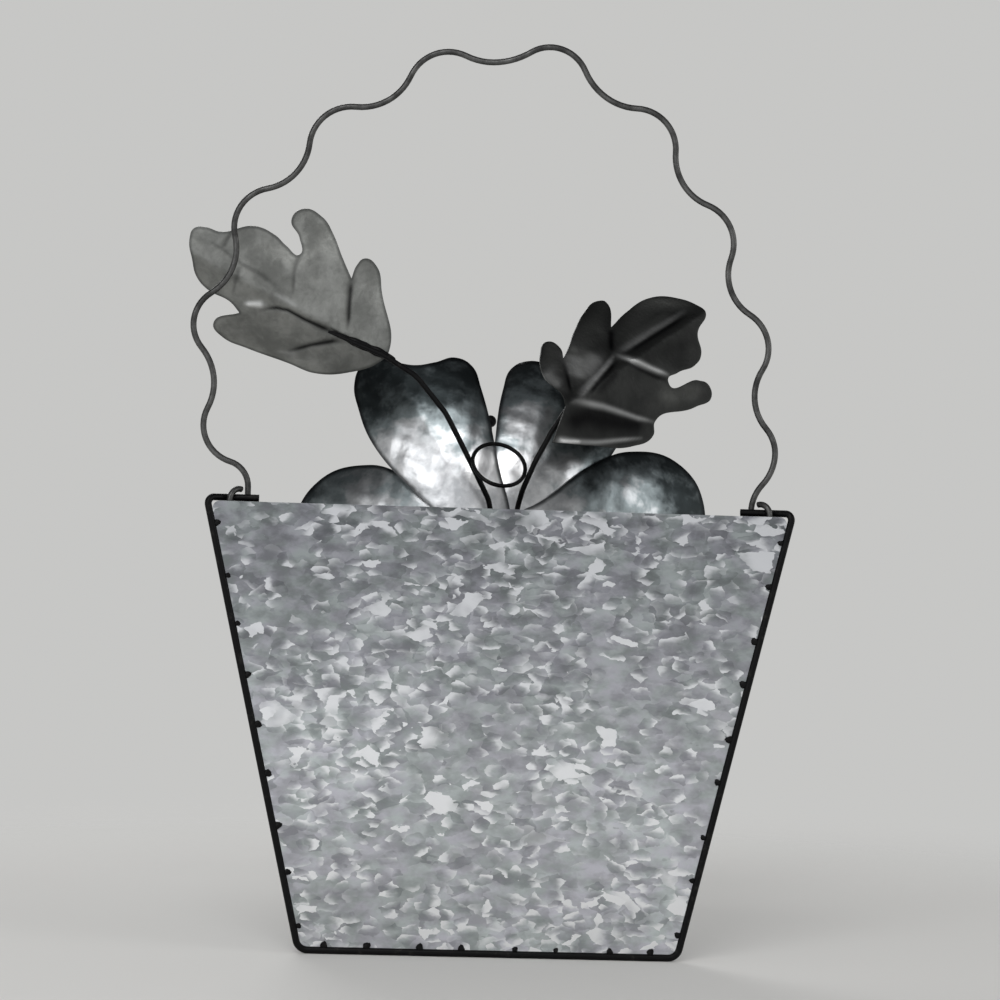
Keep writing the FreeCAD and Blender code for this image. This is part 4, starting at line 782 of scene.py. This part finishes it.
def make_left_stem(seat):
    """Left stem whose end is bent down a little along its leaf and tapers into the crease."""
    bpy.ops.object.select_all(action="DESELECT")
    stem = bpy.data.objects.new("formed_left_stem", nodes["left_stem"].data.copy())
    scene.collection.objects.link(stem)
    stem.select_set(True)
    bpy.context.view_layer.objects.active = stem
    bpy.ops.object.mode_set(mode="EDIT")
    bpy.ops.mesh.select_all(action="SELECT")
    bpy.ops.mesh.remove_doubles(threshold=STEM_MERGE)
    bpy.ops.mesh.customdata_custom_splitnormals_clear()
    bpy.ops.object.mode_set(mode="OBJECT")
    rise = math.radians(STEM_RISE)
    along = Vector((-math.cos(rise), 0, math.sin(rise)))
    for vertex in stem.data.vertices:
        reach = vertex.co / MM - seat
        run = reach.dot(along)
        if reach.length < STEM_END_REACH and run > BEND_START:
            middle = along * run
            reach = middle + (reach - middle) * (1 - STEM_TAPER * eased(run, TAPER_START, TAPER_END))
            droop = math.radians(-STEM_DROOP) * eased(run, BEND_START, BEND_END)
            turn = Matrix.Rotation(droop, 3, "Y")
            vertex.co = (seat + turn @ reach) * MM
    finish_piece(stem, "pocket", "black_wire", ["left_stem"])


def make_leaves():
    """Left leaf that faces nearly as the panel does, with its stem's end, and right leaf that leans away."""
    rise, roll = math.radians(LEFT_RISE), math.radians(LEFT_ROLL)
    along = Vector((-math.cos(rise), 0, math.sin(rise)))
    above = Vector((math.sin(rise), 0, math.cos(rise)))
    outward = Vector((0, -math.cos(roll), 0)) - above * math.sin(roll)
    base = LEFT_SEAT - outward * LEFT_BEHIND_STEM
    make_leaf("formed_left_leaf", LEFT_LEAF, LEFT_SHADED_CREASES, LEFT_HIGHLIGHT_RIDGES, LEFT_PAINTED_SHADE, [], base, along,
              outward)
    make_left_stem(LEFT_SEAT)
    lie = math.radians(STEM_RISE - STEM_DROOP)
    make_solder_seam(base, Vector((-math.cos(lie), 0, math.sin(lie))), outward)
    rise, lean = math.radians(RIGHT_RISE), math.radians(RIGHT_LEAN)
    level = Vector((math.cos(rise), 0, math.sin(rise)))
    along = level * math.cos(lean) + Vector((0, math.sin(lean), 0))
    outward = level * math.sin(lean) - Vector((0, math.cos(lean), 0))
    base = RIGHT_SEAT + outward * RIGHT_BEFORE_STEM
    make_leaf("formed_right_leaf", RIGHT_LEAF, RIGHT_SHADED_CREASES, RIGHT_HIGHLIGHT_RIDGES, RIGHT_PAINTED_SHADE, RIGHT_PAINTED_LIGHT, base,
              along, outward)


# Tack welds along the edge wire: the panel's sizes and the beads in millimetres

PANEL_TOP_HALF = 125
PANEL_BOTTOM_HALF = 81
PANEL_HEIGHT = 190
PANEL_BOTTOM = 1.5
WELD_DEPTH = -20.4
SIDE_WELDS = 9
BOTTOM_WELDS = 8
WIRE_HALF = 1.55
BEAD_HALF_LENGTH = 1.6
BEAD_HALF_WIDTH = 1.3
BEAD_HALF_HEIGHT = 0.8
BEAD_ADVANCE = 0.7
BEAD_STRAY = 1.4


def weld_seats():
    """Where each tack weld starts at the edge wire, and the way it runs, in millimetres."""
    slope = (PANEL_TOP_HALF - PANEL_BOTTOM_HALF) / PANEL_HEIGHT
    lean = math.atan(slope)
    seats = []
    for sign in (1, -1):
        inward = Vector((-sign * math.cos(lean), 0, math.sin(lean)))
        for i in range(SIDE_WELDS):
            rise = PANEL_HEIGHT * (i + 0.5) / SIDE_WELDS
            side = sign * (PANEL_BOTTOM_HALF + slope * rise)
            seats.append((Vector((side, WELD_DEPTH, PANEL_BOTTOM + rise)) + inward * WIRE_HALF, inward))
    for i in range(BOTTOM_WELDS):
        across = 2 * PANEL_BOTTOM_HALF * ((i + 0.5) / BOTTOM_WELDS - 0.5)
        seats.append((Vector((across, WELD_DEPTH, PANEL_BOTTOM + WIRE_HALF)), Vector((0, 0, 1))))
    return seats


def make_tack_welds():
    """Melted beads against the edge wire, modelled once and set down at every seat."""
    bpy.ops.object.select_all(action="DESELECT")
    bpy.ops.mesh.primitive_ico_sphere_add(subdivisions=3, radius=1, location=(0, 0, 0))
    bead = bpy.context.object
    for vertex in bead.data.vertices:
        x, y, z = vertex.co
        lump = 1 + 0.14 * math.sin(4 * x + 2 * y) * math.cos(3 * z) + 0.09 * math.sin(7 * y + 4 * x)
        taper = 1 - 0.22 * x
        vertex.co = (x * BEAD_HALF_LENGTH * lump * MM, y * BEAD_HALF_WIDTH * taper * lump * MM,
                     z * BEAD_HALF_HEIGHT * taper * lump * MM)
    copies = []
    for i, (seat, inward) in enumerate(weld_seats()):
        copy = bead.copy()
        copy.data = bead.data.copy()
        scene.collection.objects.link(copy)
        outward = Vector((0, -1, 0))
        beside = outward.cross(inward)
        turn = Matrix((inward, beside, outward)).transposed().to_4x4()
        spin = Matrix.Rotation(0.5 * math.sin(1.9 * i), 4, "Z")
        size = 0.75 + 0.45 * abs(math.sin(2.7 * i + 0.6))
        spot = seat + inward * BEAD_ADVANCE + beside * (BEAD_STRAY * math.sin(3.3 * i + 1))
        place = Matrix.Translation(spot * MM) @ turn @ spin @ Matrix.Diagonal((size, size, 1, 1))
        copy.data.transform(place)
        copies.append(copy)
    bpy.data.objects.remove(bead)
    for copy in copies:
        copy.select_set(True)
    bpy.context.view_layer.objects.active = copies[0]
    bpy.ops.object.join()
    welds = bpy.context.object
    welds.name = "melted_tack_welds"
    finish_piece(welds, "pocket", "black_wire", ["panel_welds"])


# Studio: colours, and sizes in metres

WALL_GREY = (0.57, 0.57, 0.56, 1)
CEILING_GREY = (0.035, 0.036, 0.038, 1)
WINDOW_GREY = (0.85, 0.86, 0.88, 1)
WINDOW_HEADING = Vector((-0.3, -0.94, -0.15)).normalized()
GLOW_START = 0.7
GLOW_FULL = 0.98
CEILING_START = 0.16
CEILING_FULL = 0.5
AMBIENT_WHITE = (1, 1, 1, 1)
AMBIENT = 0.5
FLOOR_PALE = (0.6, 0.595, 0.58, 1)
FLOOR_RADIUS = 1.2
FLOOR_FADE_START = 0.24
FLOOR_FADE_END = 0.65
LIGHT_AIM = (0, 0, 0.2)


def make_world():
    """Pale walls, a bright side in front of the panel and a dim ceiling, with even light from all round."""
    world = bpy.data.worlds.new("pale_studio")
    scene.world = world
    world.use_nodes = True
    tree = world.node_tree
    seen = tree.nodes["Background"]
    heading = add_node(tree, "ShaderNodeTexCoord").outputs["Generated"]
    parts = add_node(tree, "ShaderNodeSeparateXYZ")
    feed(tree, parts.inputs[0], heading)
    facing = vector_of(tree, "DOT_PRODUCT", heading, WINDOW_HEADING)
    glow = stretch_of(tree, facing.outputs["Value"], GLOW_START, GLOW_FULL)
    height = stretch_of(tree, parts.outputs["Z"], CEILING_START, CEILING_FULL)
    room = blend_of(tree, glow, WALL_GREY, WINDOW_GREY)
    feed(tree, seen.inputs["Color"], blend_of(tree, height, room, CEILING_GREY))
    seen.inputs["Strength"].default_value = 1
    ambient = add_node(tree, "ShaderNodeBackground")
    ambient.inputs["Color"].default_value = AMBIENT_WHITE
    ambient.inputs["Strength"].default_value = AMBIENT
    path = add_node(tree, "ShaderNodeLightPath")
    shiny = result_of(tree, "MAXIMUM", path.outputs["Is Glossy Ray"], path.outputs["Is Transmission Ray"])
    shown = result_of(tree, "MAXIMUM", path.outputs["Is Camera Ray"], shiny)
    mix = add_node(tree, "ShaderNodeMixShader")
    feed(tree, mix.inputs[0], shown)
    feed(tree, mix.inputs[1], ambient.outputs[0])
    feed(tree, mix.inputs[2], seen.outputs[0])
    feed(tree, tree.nodes["World Output"].inputs[0], mix.outputs[0])


def make_floor():
    """Round pale floor that fades into the surroundings."""
    bpy.ops.mesh.primitive_circle_add(vertices=96, radius=FLOOR_RADIUS, fill_type="NGON", location=(0, 0, 0))
    floor = bpy.context.object
    floor.name = "floor"
    material, tree, surface, place = new_finish("pale_floor", 0.0)
    surface.inputs["Base Color"].default_value = FLOOR_PALE
    surface.inputs["Roughness"].default_value = 0.9
    distance = add_node(tree, "ShaderNodeVectorMath", operation="LENGTH")
    feed(tree, distance.inputs[0], place)
    clear = add_node(tree, "ShaderNodeBsdfTransparent")
    mix = add_node(tree, "ShaderNodeMixShader")
    faded = stretch_of(tree, distance.outputs["Value"], FLOOR_FADE_START, FLOOR_FADE_END)
    feed(tree, mix.inputs[0], faded)
    feed(tree, mix.inputs[1], surface.outputs[0])
    feed(tree, mix.inputs[2], clear.outputs[0])
    feed(tree, tree.nodes["Material Output"].inputs[0], mix.outputs[0])
    floor.data.materials.append(material)
    floor.select_set(False)


def add_softbox(name, place, size, power):
    """Square soft light at a place, turned towards the middle of the planter."""
    data = bpy.data.lights.new(name, "AREA")
    data.size = size
    data.energy = power
    light = bpy.data.objects.new(name, data)
    light.location = place
    light.rotation_mode = "QUATERNION"
    light.rotation_quaternion = (Vector(LIGHT_AIM) - Vector(place)).to_track_quat("-Z", "Y")
    scene.collection.objects.link(light)


make_camera()
dress_cad_nodes()
make_petals()
make_leaves()
make_tack_welds()
make_world()
make_floor()
add_softbox("key_light", (-0.2, -0.9, 1.1), 0.6, 5)
add_softbox("window_light", (-0.79, -0.91, 0.61), 0.45, 1.6)
add_softbox("side_light", (1.1, -0.5, 0.7), 0.5, 2)
add_softbox("far_light", (-0.4, 1.1, 0.9), 0.7, 6)
